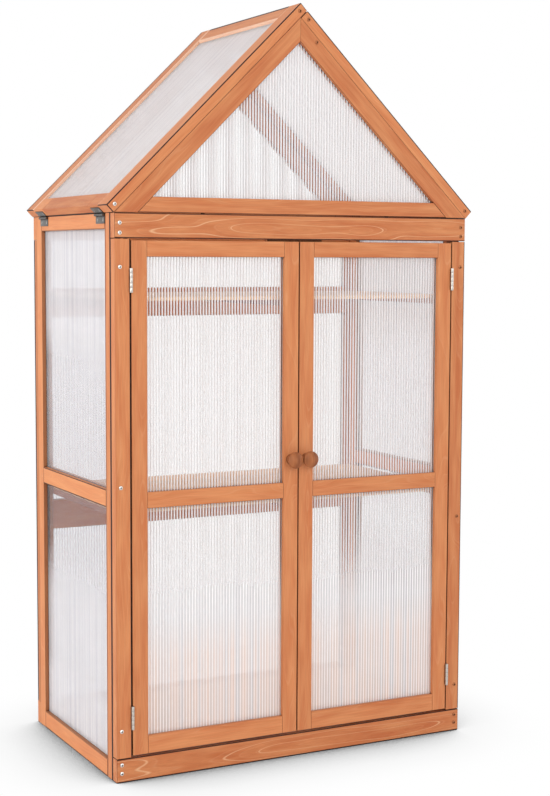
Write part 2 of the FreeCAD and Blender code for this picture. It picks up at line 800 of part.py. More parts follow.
os.makedirs("parts", exist_ok=True)
for name, solids in sorted(parts.items()):
    Part.makeCompound(solids).exportStep("parts/" + name + ".step")
    print(name, len(solids), "solids", round(sum(solid.Volume for solid in solids) / 1000, 2), "cm3")
print(len(parts), "nodes")
print("left door pin", round(-door_pin_x, 3), round(door_pin_y, 3))
print("left roof pin", round(roof_pin_x, 3), round(roof_pin_z, 3))
print("left hook pivot", [round(value, 3) for value in hook_pivot])
print("front", round(front, 3), "back", round(back, 3))
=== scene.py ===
"""Dresses the wooden mini greenhouse: stained fir, twin-wall glazing and its fittings."""

import json
import logging
import math
import random
from collections.abc import Callable, Iterable
from dataclasses import dataclass, replace
from enum import Enum
from functools import cache

import bmesh
import bpy
import numpy
from bmesh.types import BMesh, BMFace, BMVert
from bpy.types import Material, Mesh, Node, NodeSocket, NodeTree, Object, Scene
from mathutils import Matrix, Vector


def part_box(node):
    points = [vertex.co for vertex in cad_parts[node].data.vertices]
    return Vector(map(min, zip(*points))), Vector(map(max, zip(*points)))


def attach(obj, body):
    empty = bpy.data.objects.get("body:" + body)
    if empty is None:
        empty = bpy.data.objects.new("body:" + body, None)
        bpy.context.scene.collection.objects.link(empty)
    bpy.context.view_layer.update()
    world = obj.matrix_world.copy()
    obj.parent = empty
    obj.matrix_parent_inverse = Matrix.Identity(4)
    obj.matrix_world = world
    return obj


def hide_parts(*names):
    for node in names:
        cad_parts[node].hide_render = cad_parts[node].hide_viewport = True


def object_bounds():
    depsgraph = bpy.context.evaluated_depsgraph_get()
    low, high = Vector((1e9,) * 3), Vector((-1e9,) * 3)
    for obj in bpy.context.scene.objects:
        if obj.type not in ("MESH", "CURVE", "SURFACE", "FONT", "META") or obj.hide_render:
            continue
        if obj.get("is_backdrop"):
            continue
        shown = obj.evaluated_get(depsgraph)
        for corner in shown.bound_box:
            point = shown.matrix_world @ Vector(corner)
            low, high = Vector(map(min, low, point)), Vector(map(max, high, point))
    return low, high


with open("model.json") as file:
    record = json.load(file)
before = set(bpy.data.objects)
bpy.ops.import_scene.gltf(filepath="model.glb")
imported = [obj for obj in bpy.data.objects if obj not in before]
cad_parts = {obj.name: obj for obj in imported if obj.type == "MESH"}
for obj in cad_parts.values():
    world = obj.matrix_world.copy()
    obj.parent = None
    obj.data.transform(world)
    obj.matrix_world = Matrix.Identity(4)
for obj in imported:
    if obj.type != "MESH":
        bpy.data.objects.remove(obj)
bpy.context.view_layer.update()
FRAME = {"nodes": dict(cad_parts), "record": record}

LOG = logging.getLogger("greenhouse")
MM = 0.001
TOUCH = 0.01 * MM
WELD = 0.002 * MM
UP = Vector((0, 0, 1))
RIGHT = Vector((1, 0, 0))
REAR = Vector((0, 1, 0))
# Directions with a dot product above the first are taken for the same, below the second for square, and
# above the third a face lies flat in a board's side
SAME_WAY = 0.9
SQUARE = 0.1
FLUSH = 0.999
# Form of an eased edge, from 0.5 for round to 1 for sharp
SOFT = 0.6
# A board is sawn from anywhere along its log, this far to the side of the pith and this deep
LOG_LENGTH = 9.0
PITH_SIDE = 30 * MM
PITH_DEPTH = (12 * MM, 50 * MM)
# The eaves' hinge blocks reach this far in from each end, and screws this near the top take a darker copy of
# their finish, painted shade
HINGE_BLOCK_REACH = 99 * MM
RIDGE_REACH = 60 * MM
# Places along a ramp with their levels, and a point or a direction
Stops = tuple[tuple[float, float], ...]
Triple = tuple[float, float, float]


class Side(Enum):
    """Which half of the greenhouse a piece belongs to; the value is its sign along X."""

    LEFT = -1
    RIGHT = 1

    @property
    def word(self) -> str:
        """The side's name as the CAD nodes spell it."""
        return self.name.lower()


class Head(Enum):
    """Form of a screw's head.

    The values are the height of its rim, the height of its crown, whether its rim is upright, and the
    shank's radius as a share of the head's.
    """

    PAN = (0.8 * MM, 1.2 * MM, True, 0.5)
    FLAT = (1.0 * MM, 0.0, False, 0.54)


def linear(code: str) -> tuple[float, float, float, float]:
    """Turn an sRGB hex colour into the linear values that Blender works in.

    Args:
        code: six hex digits.

    Returns:
        Linear red, green and blue, with full alpha.
    """
    channels = [int(code[index : index + 2], 16) / 255 for index in (0, 2, 4)]
    return (*[c / 12.92 if c <= 0.04045 else ((c + 0.055) / 1.055) ** 2.4 for c in channels], 1.0)


def add_node(tree: NodeTree, kind: str, inputs: dict | None = None, **settings) -> Node:
    """Add a node to a tree, set it and link it.

    Args:
        tree: shader or geometry tree.
        kind: Blender's identifier of the node.
        inputs: socket name or index to a value, or to the output socket, or the node by its first
            output in use, that feeds it.
        settings: properties of the node itself.

    Returns:
        The new node.
    """
    node = tree.nodes.new(kind)
    for name, value in settings.items():
        setattr(node, name, value)
    for key, value in (inputs or {}).items():
        if isinstance(value, Node):
            value = next(output for output in value.outputs if output.enabled)
        if isinstance(value, NodeSocket):
            tree.links.new(value, node.inputs[key])
        else:
            node.inputs[key].default_value = value
    return node


def new_material(name: str) -> tuple[Material, NodeTree]:
    """Start an empty node material.

    Args:
        name: name of the finish.

    Returns:
        The material and its cleared tree.
    """
    material = bpy.data.materials.new(name)
    material.use_nodes = True
    material.node_tree.nodes.clear()
    return material, material.node_tree


def solid_object(name: str, mesh: Mesh, material: Material) -> Object:
    """Put a finished mesh in the scene.

    Args:
        name: name of the piece.
        mesh: its mesh, already in place.
        material: its finish.

    Returns:
        The object, at the origin.
    """
    mesh.name = name
    mesh.materials.clear()
    mesh.materials.append(material)
    piece = bpy.data.objects.new(name, mesh)
    bpy.context.scene.collection.objects.link(piece)
    return piece


def settle(piece: Object, body: str, slot: str, *nodes: str) -> None:
    """Tie a finished piece to its body and to the nodes that it stands for.

    Args:
        piece: the finished object.
        body: body that it moves with.
        slot: material slot of the record; not used.
        nodes: CAD nodes that it replaces.
    """
    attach(piece, body)
    if nodes:
        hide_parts(*nodes)
    LOG.info("%s rides on %s, %d faces", piece.name, body, len(piece.data.polygons))


def plain_mesh(source: Object) -> Mesh:
    """Turn an object with modifiers into a plain mesh and remove the object.

    Args:
        source: object with live modifiers.

    Returns:
        Its evaluated mesh.
    """
    graph = bpy.context.evaluated_depsgraph_get()
    mesh = bpy.data.meshes.new_from_object(source.evaluated_get(graph))
    old = source.data
    bpy.data.objects.remove(source)
    if old.users == 0:
        bpy.data.meshes.remove(old)
    return mesh


def mesh_of(shape: BMesh) -> Mesh:
    """Turn a shape into a mesh and free the shape.

    Args:
        shape: the shape.

    Returns:
        The mesh, which gets its name with its object.
    """
    mesh = bpy.data.meshes.new("piece")
    shape.to_mesh(mesh)
    shape.free()
    return mesh


def joined(meshes: Iterable[Mesh]) -> Mesh:
    """Join meshes into one.

    Args:
        meshes: the meshes, which are removed.

    Returns:
        The whole.
    """
    whole = bmesh.new()
    for mesh in meshes:
        whole.from_mesh(mesh)
        bpy.data.meshes.remove(mesh)
    return mesh_of(whole)


def grown(tree: NodeTree, sizes: dict[str, float], finish: Material, seeds: Mesh | None = None) -> Mesh:
    """Grow a mesh with Geometry Nodes.

    Args:
        tree: the tree that grows it.
        sizes: values of the tree's inputs by name.
        finish: finish that the tree sets.
        seeds: mesh to grow it on, empty if not given.

    Returns:
        The plain mesh.
    """
    source = bpy.data.objects.new(tree.name, bpy.data.meshes.new(tree.name) if seeds is None else seeds)
    bpy.context.scene.collection.objects.link(source)
    modifier = source.modifiers.new(tree.name, "NODES")
    modifier.node_group = tree
    values = {**sizes, "Finish": finish}
    for item in tree.interface.items_tree:
        if item.in_out == "INPUT" and item.name in values:
            modifier[item.identifier] = values[item.name]
    return plain_mesh(source)


def extent(points: Iterable[Vector], way: Vector) -> tuple[float, float]:
    """Least and greatest place of some points along a direction."""
    places = [point.dot(way) for point in points]
    return min(places), max(places)


def solids_of(node: str, joints: tuple[tuple[int, float], ...] = ()) -> list[list[Vector]]:
    """Read the corners of each solid in a CAD node.

    Args:
        node: name of the CAD node.
        joints: axis and place of each butt joint, where two solids of the node touch.

    Returns:
        The vertices of each solid, in a steady order.
    """
    whole = bmesh.new()
    whole.from_mesh(FRAME["nodes"][node].data)
    parts: dict[tuple[bool, ...], list[BMFace]] = {}
    for triangle in whole.faces:
        middle = triangle.calc_center_median()
        normal = triangle.normal
        key = tuple(
            middle[axis] > place if abs(middle[axis] - place) > TOUCH else normal[axis] < 0
            for axis, place in joints
        )
        parts.setdefault(key, []).append(triangle)
    found = []
    for triangles in parts.values():
        part = bmesh.new()
        for triangle in triangles:
            part.faces.new([part.verts.new(vert.co) for vert in triangle.verts])
        bmesh.ops.remove_doubles(part, verts=part.verts, dist=WELD)
        found += [[vert.co.copy() for vert in group] for group in islands(part)]
        part.free()
    whole.free()
    return sorted(found, key=lambda points: tuple(round(v, 4) for v in centre_of(points)))


def islands(mesh: BMesh) -> list[list[BMVert]]:
    """Sort a mesh's vertices into its separate solids.

    Args:
        mesh: mesh of one or more closed solids.

    Returns:
        The vertices of each solid, in a steady order.
    """
    left = set(mesh.verts)
    groups = []
    while left:
        queue = [left.pop()]
        group = []
        while queue:
            vert = queue.pop()
            group.append(vert)
            for edge in vert.link_edges:
                other = edge.other_vert(vert)
                if other in left:
                    left.remove(other)
                    queue.append(other)
        groups.append(group)
    return sorted(groups, key=lambda group: tuple(round(v, 4) for v in centre_of([p.co for p in group])))


def centre_of(points: list[Vector]) -> Vector:
    """Find the middle of some points.

    Args:
        points: the points.

    Returns:
        Centre of the box round them.
    """
    low = Vector([min(p[axis] for p in points) for axis in range(3)])
    high = Vector([max(p[axis] for p in points) for axis in range(3)])
    return (low + high) / 2


def half_outline(ordered: list[tuple[float, float]]) -> list[tuple[float, float]]:
    """Walk along one half of a convex outline.

    Args:
        ordered: flat points, from one end to the other.

    Returns:
        The half's corners, without its last.
    """
    least_turn = 1e-7
    chain: list[tuple[float, float]] = []
    for x, y in ordered:
        while len(chain) > 1:
            (ax, ay), (bx, by) = chain[-2:]
            turn = (bx - ax) * (y - ay) - (by - ay) * (x - ax)
            if turn > least_turn * math.hypot(bx - ax, by - ay):
                break
            chain.pop()
        chain.append((x, y))
    return chain[:-1]


def outline_of(points: list[tuple[float, float]]) -> list[tuple[float, float]]:
    """Draw the convex outline of flat points.

    Args:
        points: the points.

    Returns:
        The outline's corners, counterclockwise, with no point in the middle of a side.
    """
    ordered = sorted({(round(x, 6), round(y, 6)) for x, y in points})
    return half_outline(ordered) + half_outline(ordered[::-1])


@dataclass(frozen=True)
class Board:
    """One timber: its outline on the face that shows, its thickness and its grain."""

    outline: tuple[Vector, ...]
    face: Vector
    thick: float
    along: Vector
    centre: Vector

    @classmethod
    def from_points(cls, points: list[Vector], face: Vector) -> "Board":
        """Read a board from the corners of its CAD solid.

        Args:
            points: vertices of the solid.
            face: direction that its broad face looks in.

        Returns:
            The board, with its grain along its longest edge.
        """
        side = (UP if abs(face.z) < SAME_WAY else REAR).cross(face).normalized()
        rise = face.cross(side)
        low, top = extent(points, face)
        flat = outline_of([(p.dot(side), p.dot(rise)) for p in points if p.dot(face) > top - TOUCH])
        outline = tuple(side * x + rise * y + face * top for x, y in flat)
        edges = [b - a for a, b in zip(outline, outline[1:] + outline[:1])]
        along = max(edges, key=lambda edge: round(edge.length, 5)).normalized()
        centre = centre_of(list(outline)) - face * (top - low) / 2
        return cls(outline, face, top - low, along, centre)

    def inwards(self) -> list[Vector]:
        """Direction from each edge of the outline into the board."""
        ends = self.outline[1:] + self.outline[:1]
        return [self.face.cross((end - start).normalized()) for start, end in zip(self.outline, ends)]

    def drawn_in(self, ends: float, sides: float, under: float) -> "Board":
        """The board with shadow gaps left at its joints.

        Args:
            ends: gap at the edges across the grain.
            sides: gap at the edges along the grain.
            under: gap below its lower face.

        Returns:
            The smaller board.
        """
        inner = self.inwards()
        gaps = [sides if abs(normal.dot(self.along)) < SQUARE else ends for normal in inner]
        moved = []
        for index, point in enumerate(self.outline):
            one, two = inner[index - 1], inner[index]
            skew = one.dot(two)
            first = (gaps[index - 1] - skew * gaps[index]) / (1 - skew * skew)
            second = (gaps[index] - skew * gaps[index - 1]) / (1 - skew * skew)
            moved.append(point + one * first + two * second)
        return replace(self, outline=tuple(moved), thick=self.thick - under)

    def eased(self, arris: float, end_arris: float = 0.0, squareness: float = SOFT) -> Mesh:
        """Build the board with its arrises eased.

        Args:
            arris: width of the eased long edges.
            end_arris: width of the eased edges round its ends, the same if zero.
            squareness: form of the long edges, from 0.5 for round to 1 for sharp.

        Returns:
            The board's mesh.
        """
        part = bmesh.new()
        upper = [part.verts.new(p) for p in self.outline]
        lower = [part.verts.new(p - self.face * self.thick) for p in self.outline]
        part.faces.new(upper)
        part.faces.new(lower[::-1])
        count = len(upper)
        for index in range(count):
            after = (index + 1) % count
            part.faces.new((upper[index], lower[index], lower[after], upper[after]))
        bmesh.ops.recalc_face_normals(part, faces=part.faces)
        ways = [(edge.verts[0].co - edge.verts[1].co).normalized() for edge in part.edges]
        long = [edge for edge, way in zip(part.edges, ways) if abs(way.dot(self.along)) > 0.99]
        ease = {"segments": 2, "affect": "EDGES", "clamp_overlap": True}
        bmesh.ops.bevel(part, geom=long, offset=arris, profile=squareness, **ease)
        # A mitred end faces along the grain only in part
        ends = [face for face in part.faces if abs(face.normal.dot(self.along)) > 0.5]
        rims = {edge for end in ends for edge in end.edges}
        bmesh.ops.bevel(part, geom=list(rims), offset=end_arris or arris, profile=SOFT, **ease)
        return mesh_of(part)


@dataclass(frozen=True)
class Ink:
    """Which edges of a node's boards get painted shade: dark lines that stand for the outlines and the shade
    along them.

    Edges turned along the axis are lined; if mirrored, along it on one side of the node's middle and
    against it on the other. The inner depth is for all faces that turn the other way: painted shade above
    zero, a painted highlight below it.
    """

    depth: float = 0.6
    axis: Vector | None = None
    mirrored: bool = False
    on: tuple[Vector, ...] = ()
    blank: Vector | None = None
    foot: Vector | None = None
    elsewhere: float = 0.1
    inner: float = 0.0
    least_turn: float = 0.03

    def level(self, normal: Vector, place: Vector, eased: bool) -> float:
        """Judge one face.

        Args:
            normal: its normal.
            place: where it lies from the middle of the node's boards.
            eased: whether it is an eased edge rather than a flat side.

        Returns:
            Depth of its painted shade, or below zero the strength of its painted highlight.
        """
        turn = 1.0
        if self.axis:
            turn = normal.dot(self.axis)
            if self.mirrored:
                turn = math.copysign(turn, turn * place.dot(self.axis))
        if turn < -self.least_turn and self.inner:
            return self.inner
        if not eased:
            return 0.0
        shown = not self.on or max(normal.dot(side) for side in self.on) > SAME_WAY
        lined = turn > self.least_turn and shown
        spared = self.blank is not None and normal.dot(self.blank) > self.least_turn
        ended = self.foot is not None and normal.dot(self.foot) > self.least_turn
        return self.depth if ended or (lined and not spared) else self.elsewhere


@dataclass
class Timber:
    """All boards of one CAD node, rebuilt with eased arrises, pane grooves and their own grain."""

    node: str
    body: str
    face: Vector
    panes: tuple[str, ...] = ()
    seed: int = 1
    arris: float = 0.8 * MM
    end_arris: float = 0.45 * MM
    rear_arris: float = 0.0
    squareness: float = SOFT
    groove_play: float = 0.2 * MM
    groove_spare: float = 1.6 * MM
    groove_arris: float = 0.02 * MM
    pith_depth: tuple[float, float] = PITH_DEPTH
    pith_side: float = PITH_SIDE
    joints: tuple[tuple[int, float], ...] = ()
    gaps: Triple = (0.25 * MM, 0.0, 0.0)
    # By default the lower eased edges of every board take painted shade
    ink: Ink = Ink(axis=-UP)
    shades: tuple[float, float] = (0.0, 1.0)
    arches: float = 0.12
    lean: float = 0.012

    def boards(self) -> list[Board]:
        """Read the node's boards from its solids."""
        found = [Board.from_points(points, self.face) for points in solids_of(self.node, self.joints)]
        return [board.drawn_in(*self.gaps) for board in found]

    def make(self, material: Material) -> None:
        """Build the piece that stands for the node.

        Args:
            material: the timber's finish.
        """
        boards = self.boards()
        heart = centre_of([board.centre for board in boards])
        cutter = self.groove_cutter(material) if self.panes else None
        shapes = []
        for board in boards:
            behind = (board.centre - heart).dot(REAR) > 0
            arris = self.rear_arris if behind and self.rear_arris else self.arris
            mesh = board.eased(arris, self.end_arris, self.squareness)
            shapes.append(self.grooved(mesh, cutter, material) if cutter else mesh)
        if cutter:
            bpy.data.objects.remove(cutter)
        mesh = joined(shapes)
        self.lay_grain(mesh, boards)
        settle(solid_object(self.node + "_timber", mesh, material), self.body, "stained_fir", self.node)

    def groove_cutter(self, material: Material) -> Object:
        """Slabs a little larger than the panes, which cut the grooves that these sit in.

        Args:
            material: any finish, as an object needs one.

        Returns:
            The cutter.
        """
        slabs = []
        lift = self.face * self.groove_play
        for points in [points for pane in self.panes for points in solids_of(pane)]:
            board = Board.from_points(points, self.face)
            middle = centre_of(list(board.outline))
            spread = [p + (p - middle).normalized() * self.groove_spare + lift for p in board.outline]
            slab = replace(board, outline=tuple(spread), thick=board.thick + 2 * self.groove_play)
            slabs.append(slab.eased(self.groove_arris))
        return solid_object("groove", joined(slabs), material)

    @staticmethod
    def grooved(mesh: Mesh, cutter: Object, material: Material) -> Mesh:
        """Cut the grooves out of one board.

        Args:
            mesh: the board.
            cutter: slabs to cut away.
            material: any finish, as an object needs one.

        Returns:
            The grooved board.
        """
        piece = solid_object("board", mesh, material)
        cut = piece.modifiers.new("groove", "BOOLEAN")
        cut.object = cutter
        cut.operation = "DIFFERENCE"
        cut.solver = "EXACT"
        return plain_mesh(piece)

    def lay_grain(self, mesh: Mesh, boards: list[Board]) -> None:
        """Write where each point lies in the log that its board was sawn from.

        Args:
            mesh: mesh of all boards.
            boards: the boards that it was built from.
        """
        shape = bmesh.new()
        shape.from_mesh(mesh)
        grain = shape.verts.layers.float_vector.new("grain")
        tone = shape.verts.layers.float.new("tone")
        # The attribute "arris" holds each face's painted shade, or below zero its painted highlight
        eased = shape.faces.layers.float.new("arris")
        arched = shape.faces.layers.float.new("arches")
        rng = random.Random(self.seed * 7919 + len(boards))
        heart = centre_of([board.centre for board in boards])
        logs = []
        for _ in boards:
            depth = rng.uniform(*self.pith_depth) * rng.choice((-1, 1))
            side = rng.uniform(-self.pith_side, self.pith_side)
            logs.append((rng.uniform(0, LOG_LENGTH), side, depth, rng.uniform(*self.shades)))
        for group in islands(shape):
            middle = centre_of([vert.co for vert in group])
            index = min(range(len(boards)), key=lambda i: (boards[i].centre - middle).length)
            board, (start, side, depth, shade) = boards[index], logs[index]
            across = board.face.cross(board.along)
            for vert in group:
                offset = vert.co - board.centre
                forth = offset.dot(board.along)
                below = offset.dot(board.face) + depth + self.lean * forth
                vert[grain] = Vector((forth + start, offset.dot(across) + side, below))
                vert[tone] = shade
            flats = [board.face, *board.inwards()]
            for polygon in {polygon for vert in group for polygon in vert.link_faces}:
                turned = all(abs(polygon.normal.dot(flat)) < FLUSH for flat in flats)
                place = polygon.calc_center_median() - heart
                polygon[eased] = self.ink.level(polygon.normal, place, turned)
                polygon[arched] = self.arches
        shape.to_mesh(mesh)
        shape.free()


@dataclass(frozen=True)
class StainedFir:
    """Fir, planed and stained orange-tan: faint growth rings, thin pale arches and a satin face."""

    name: str = "stained_fir_planed"
    body_colour: str = "DA905D"
    deep_colour: str = "C46E40"
    pale_colour: str = "F0BE92"
    # Colour of the painted shade in joints and along lined edges, and of the painted highlight
    painted_shade_colour: str = "2E1009"
    painted_highlight_colour: str = "FFDCC2"
    ring_gap: float = 5.5 * MM
    ring_form: Stops = ((0.0, 0.0), (0.86, 0.3), (0.93, 1.0), (1.0, 0.0))
    ring_strength: float = 0.14
    arch_gap: float = 10.0 * MM
    arch_form: Stops = ((0.0, 0.0), (0.9, 0.0), (0.945, 1.0), (0.985, 0.0))
    warp: Triple = (0.0, 20.0 * MM, 70.0 * MM)
    warp_length: float = 280.0 * MM
    warp_width: float = 60.0 * MM
    streak: float = 0.9 * MM
    streak_length: float = 60.0 * MM
    blotch: float = 110.0 * MM
    seam_reach: float = 5.0 * MM
    roughness: float = 0.5
    own_grain: bool = True

    def make(self) -> Material:
        """Build the material, on the boards' own grain or else on the plain coordinates.

        Returns:
            The material.
        """
        material, tree = new_material(self.name)
        tone = add_node(tree, "ShaderNodeAttribute", attribute_name="tone").outputs["Fac"]
        if self.own_grain:
            grain = add_node(tree, "ShaderNodeAttribute", attribute_name="grain").outputs["Vector"]
        else:
            grain = add_node(tree, "ShaderNodeTexCoord").outputs["Object"]
        # Pores and planing marks, drawn a little wider than the real 0.3 mm so that they show
        streaks = self.figure(tree, grain, self.streak_length, self.streak, {"Detail": 3.0, "Roughness": 0.6})
        ringed = self.rings(tree, grain, self.stain(tree, grain, tone))
        streak_value = add_node(tree, "ShaderNodeMapRange", {0: streaks, 1: 0.3, 2: 0.7, 3: 0.88, 4: 1.06})
        tone_value = add_node(tree, "ShaderNodeMapRange", {0: tone, 3: 0.9, 4: 1.06})
        value = add_node(tree, "ShaderNodeMath", {0: streak_value, 1: tone_value}, operation="MULTIPLY")
        toned = add_node(tree, "ShaderNodeVectorMath", {0: ringed, "Scale": value}, operation="SCALE")
        pores = {"Strength": 0.25, "Distance": 0.15 * MM, "Height": streaks}
        relief = add_node(tree, "ShaderNodeBump", pores)
        satin = {0: streaks, 3: self.roughness - 0.06, 4: self.roughness + 0.08}
        gloss = add_node(tree, "ShaderNodeMapRange", satin)
        face = {"Base Color": self.seams(tree, toned), "Roughness": gloss, "Normal": relief}
        skin = add_node(tree, "ShaderNodeBsdfPrincipled", {**face, "IOR": 1.5, "Specular IOR Level": 0.25})
        add_node(tree, "ShaderNodeOutputMaterial", {0: skin})
        return material

    @staticmethod
    def figure(
        tree: NodeTree, grain: NodeSocket, length: float, width: float, form: dict[str, float]
    ) -> Node:
        """Noise that is drawn out along the grain.

        Args:
            tree: the material's tree.
            grain: place in the log.
            length: size of its marks along the grain.
            width: size of its marks across the grain.
            form: further values of the noise.

        Returns:
            The noise.
        """
        scale = (1 / length, 1 / width, 1 / width)
        drawn = add_node(tree, "ShaderNodeMapping", {"Vector": grain, "Scale": scale})
        return add_node(tree, "ShaderNodeTexNoise", {"Vector": drawn, "Scale": 1.0, **form})

    def stain(self, tree: NodeTree, grain: NodeSocket, tone: NodeSocket) -> Node:
        """Stain that soaked in unevenly, in long soft blotches, and more into a dark board.

        Args:
            tree: the material's tree.
            grain: place in the log.
            tone: the board's own tone, from 0 for dark to 1 for light.

        Returns:
            The colour.
        """
        blotches = self.figure(tree, grain, self.blotch, self.blotch / 8, {"Detail": 2.0, "Roughness": 0.5})
        most = add_node(tree, "ShaderNodeMapRange", {0: tone, 3: 1.2, 4: 0.5})
        soaked = add_node(tree, "ShaderNodeMapRange", {0: blotches, 1: 0.2, 2: 0.78, 3: 0.0, 4: most})
        blend = {0: soaked, 6: linear(self.body_colour), 7: linear(self.deep_colour)}
        return add_node(tree, "ShaderNodeMix", blend, data_type="RGBA")

    def rings(self, tree: NodeTree, grain: NodeSocket, colour: Node) -> Node:
        """Growth rings: soft bands close together and a few thin pale arches further apart.

        Args:
            tree: the material's tree.
            grain: place in the log.
            colour: the stain's colour.

        Returns:
            The colour with its rings.
        """
        # Slow bends of the trunk move the rings sideways, which draws the cathedral arches
        bend = self.figure(tree, grain, self.warp_length, self.warp_width, {"Detail": 1.5, "Roughness": 0.4})
        swing = {0: bend.outputs["Color"], 1: (0.5, 0.5, 0.5)}
        shift = add_node(tree, "ShaderNodeVectorMath", swing, operation="SUBTRACT")
        bent = {0: shift, 1: self.warp, 2: grain}
        shifted = add_node(tree, "ShaderNodeVectorMath", bent, operation="MULTIPLY_ADD")
        flat = add_node(tree, "ShaderNodeVectorMath", {0: shifted, 1: (0, 1, 1)}, operation="MULTIPLY")
        radius = add_node(tree, "ShaderNodeVectorMath", {0: flat}, operation="LENGTH")
        arches = add_node(tree, "ShaderNodeAttribute", attribute_name="arches").outputs["Fac"]
        for gap, form, strength in (
            (self.ring_gap, self.ring_form, self.ring_strength),
            (self.arch_gap, self.arch_form, arches),
        ):
            turns = add_node(tree, "ShaderNodeMath", {0: radius, 1: gap}, operation="DIVIDE")
            ring = add_node(tree, "ShaderNodeMath", {0: turns}, operation="FRACT")
            ramp = add_node(tree, "ShaderNodeValToRGB", {0: ring})
            fill_ramp(ramp, form)
            share = add_node(tree, "ShaderNodeMath", {0: ramp, 1: strength}, operation="MULTIPLY")
            blend = {0: share, 6: colour, 7: linear(self.pale_colour)}
            colour = add_node(tree, "ShaderNodeMix", blend, data_type="RGBA")
        return colour

    def seams(self, tree: NodeTree, colour: Node) -> Node:
        """Paint shade into the joints, where ambient occlusion finds them, and onto the lined eased edges,
        and paint a highlight onto edges marked below zero.

        Args:
            tree: the material's tree.
            colour: colour of the open face.

        Returns:
            The finished colour.
        """
        near = {"Distance": self.seam_reach}
        # Painted shade: ambient occlusion darkens the joints and hollows
        hollow = add_node(tree, "ShaderNodeAmbientOcclusion", near, samples=8).outputs["AO"]
        seam = add_node(tree, "ShaderNodeMapRange", {0: hollow, 1: 0.3, 2: 0.66, 3: 0.92, 4: 0.0})
        arris = add_node(tree, "ShaderNodeAttribute", attribute_name="arris").outputs["Fac"]
        dark = add_node(tree, "ShaderNodeMath", {0: seam, 1: arris}, operation="ADD", use_clamp=True)
        # Edges marked below zero take the painted highlight
        highlight_share = add_node(tree, "ShaderNodeMath", {0: arris, 1: -1.0}, operation="MULTIPLY", use_clamp=True)
        for share, shade in ((highlight_share, self.painted_highlight_colour), (dark, self.painted_shade_colour)):
            blend = {0: share, 6: colour, 7: linear(shade)}
            colour = add_node(tree, "ShaderNodeMix", blend, data_type="RGBA")
        return colour


def fill_ramp(ramp: Node, stops: Stops) -> None:
    """Give a ramp its grey stops.

    Args:
        ramp: colour ramp node.
        stops: position and level of each stop, in rising order.
    """
    elements = ramp.color_ramp.elements
    while len(elements) < len(stops):
        elements.new(1.0)
    for element, (position, _) in zip(elements, stops):
        element.position = position
    for element, (_, level) in zip(elements, stops):
        element.color = (level, level, level, 1)


def even_veil(amount: float) -> Stops:
    """The same veil at every height up to the ridge."""
    return ((0.0, amount), (1.4, amount))


@dataclass(frozen=True)
class TwinWallSheet:
    """Clear polycarbonate, extruded in two skins with ribs between: it spreads the light milkily."""

    name: str
    veil: Stops
    rib_veil: float = 0.8
    glow: float = 0.25
    rib_colour: str = "FEFEFF"
    skin_colour: str = "FAFAFB"
    line_colour: str = "E9E8EC"
    clear_colour: str = "FFFFFF"
    # Colour painted low on the sheet, painted light from the boards behind, and the height and fade of that
    # zone
    foot_colour: str = "FAFAFB"
    foot_top: float = 0.3
    foot_fade: float = 0.08
    roughness: float = 0.18
    tallest: float = 1.5
    cloud: float = 0.12

    def make(self) -> Material:
        """Build the material.

        The veil gives heights in metres with the share of light that the skin scatters there; the ribs'
        roots show as whiter lines, at whole numbers of the attribute "rib".

        Returns:
            The material.
        """
        material, tree = new_material(self.name)
        place = add_node(tree, "ShaderNodeTexCoord").outputs["Object"]
        height = add_node(tree, "ShaderNodeSeparateXYZ", {0: place}).outputs["Z"]
        share = add_node(tree, "ShaderNodeMath", {0: height, 1: self.tallest}, operation="DIVIDE")
        ramp = add_node(tree, "ShaderNodeValToRGB", {0: share})
        fill_ramp(ramp, tuple((level / self.tallest, amount) for level, amount in self.veil))
        haze = add_node(tree, "ShaderNodeTexNoise", {"Vector": place, "Scale": 1 / self.cloud, "Detail": 1.0})
        cloud = add_node(tree, "ShaderNodeMapRange", {0: haze, 1: 0.3, 2: 0.7, 3: 0.92, 4: 1.08})
        plain = add_node(tree, "ShaderNodeMath", {0: ramp, 1: cloud}, operation="MULTIPLY")
        count = add_node(tree, "ShaderNodeAttribute", attribute_name="rib").outputs["Fac"]
        halfway = add_node(tree, "ShaderNodeMath", {0: count, 1: 0.5}, operation="PINGPONG")
        root = add_node(tree, "ShaderNodeMapRange", {0: halfway, 1: 0.07, 2: 0.13, 3: 1.0, 4: 0.0})
        amount = add_node(tree, "ShaderNodeMix", {0: root, 2: plain, 3: self.rib_veil})
        # The die leaves long lines in the skins, some ribs apart
        die = {"W": count, "Scale": 0.45, "Detail": 2.0, "Roughness": 0.7}
        lines = add_node(tree, "ShaderNodeTexNoise", die, noise_dimensions="1D")
        drawn = add_node(tree, "ShaderNodeMapRange", {0: lines, 1: 0.3, 2: 0.62, 3: 0.0, 4: 1.0})
        # Low down the sheet is painted with the colour of the boards behind it, painted light that stands for
        # what shows through
        foot = {0: height, 1: self.foot_top - self.foot_fade, 2: self.foot_top, 3: 1.0, 4: 0.0}
        low = add_node(tree, "ShaderNodeMapRange", foot)
        tint = {0: low, 6: linear(self.skin_colour), 7: linear(self.foot_colour)}
        tinted = add_node(tree, "ShaderNodeMix", tint, data_type="RGBA")
        line = {0: drawn, 6: linear(self.line_colour), 7: tinted}
        lined = add_node(tree, "ShaderNodeMix", line, data_type="RGBA")
        rib = {0: root, 6: lined, 7: linear(self.rib_colour)}
        milk = add_node(tree, "ShaderNodeMix", rib, data_type="RGBA")
        clear = add_node(tree, "ShaderNodeBsdfTransparent", {"Color": linear(self.clear_colour)})
        face = {"Base Color": milk, "Roughness": self.roughness, "IOR": 1.58, "Specular IOR Level": 0.4}
        front = add_node(tree, "ShaderNodeBsdfPrincipled", face)
        through = add_node(tree, "ShaderNodeBsdfTranslucent", {"Color": milk})
        scatter = add_node(tree, "ShaderNodeMixShader", {0: self.glow, 1: front, 2: through})
        mixed = add_node(tree, "ShaderNodeMixShader", {0: amount, 1: clear, 2: scatter})
        add_node(tree, "ShaderNodeOutputMaterial", {0: mixed})
        return material


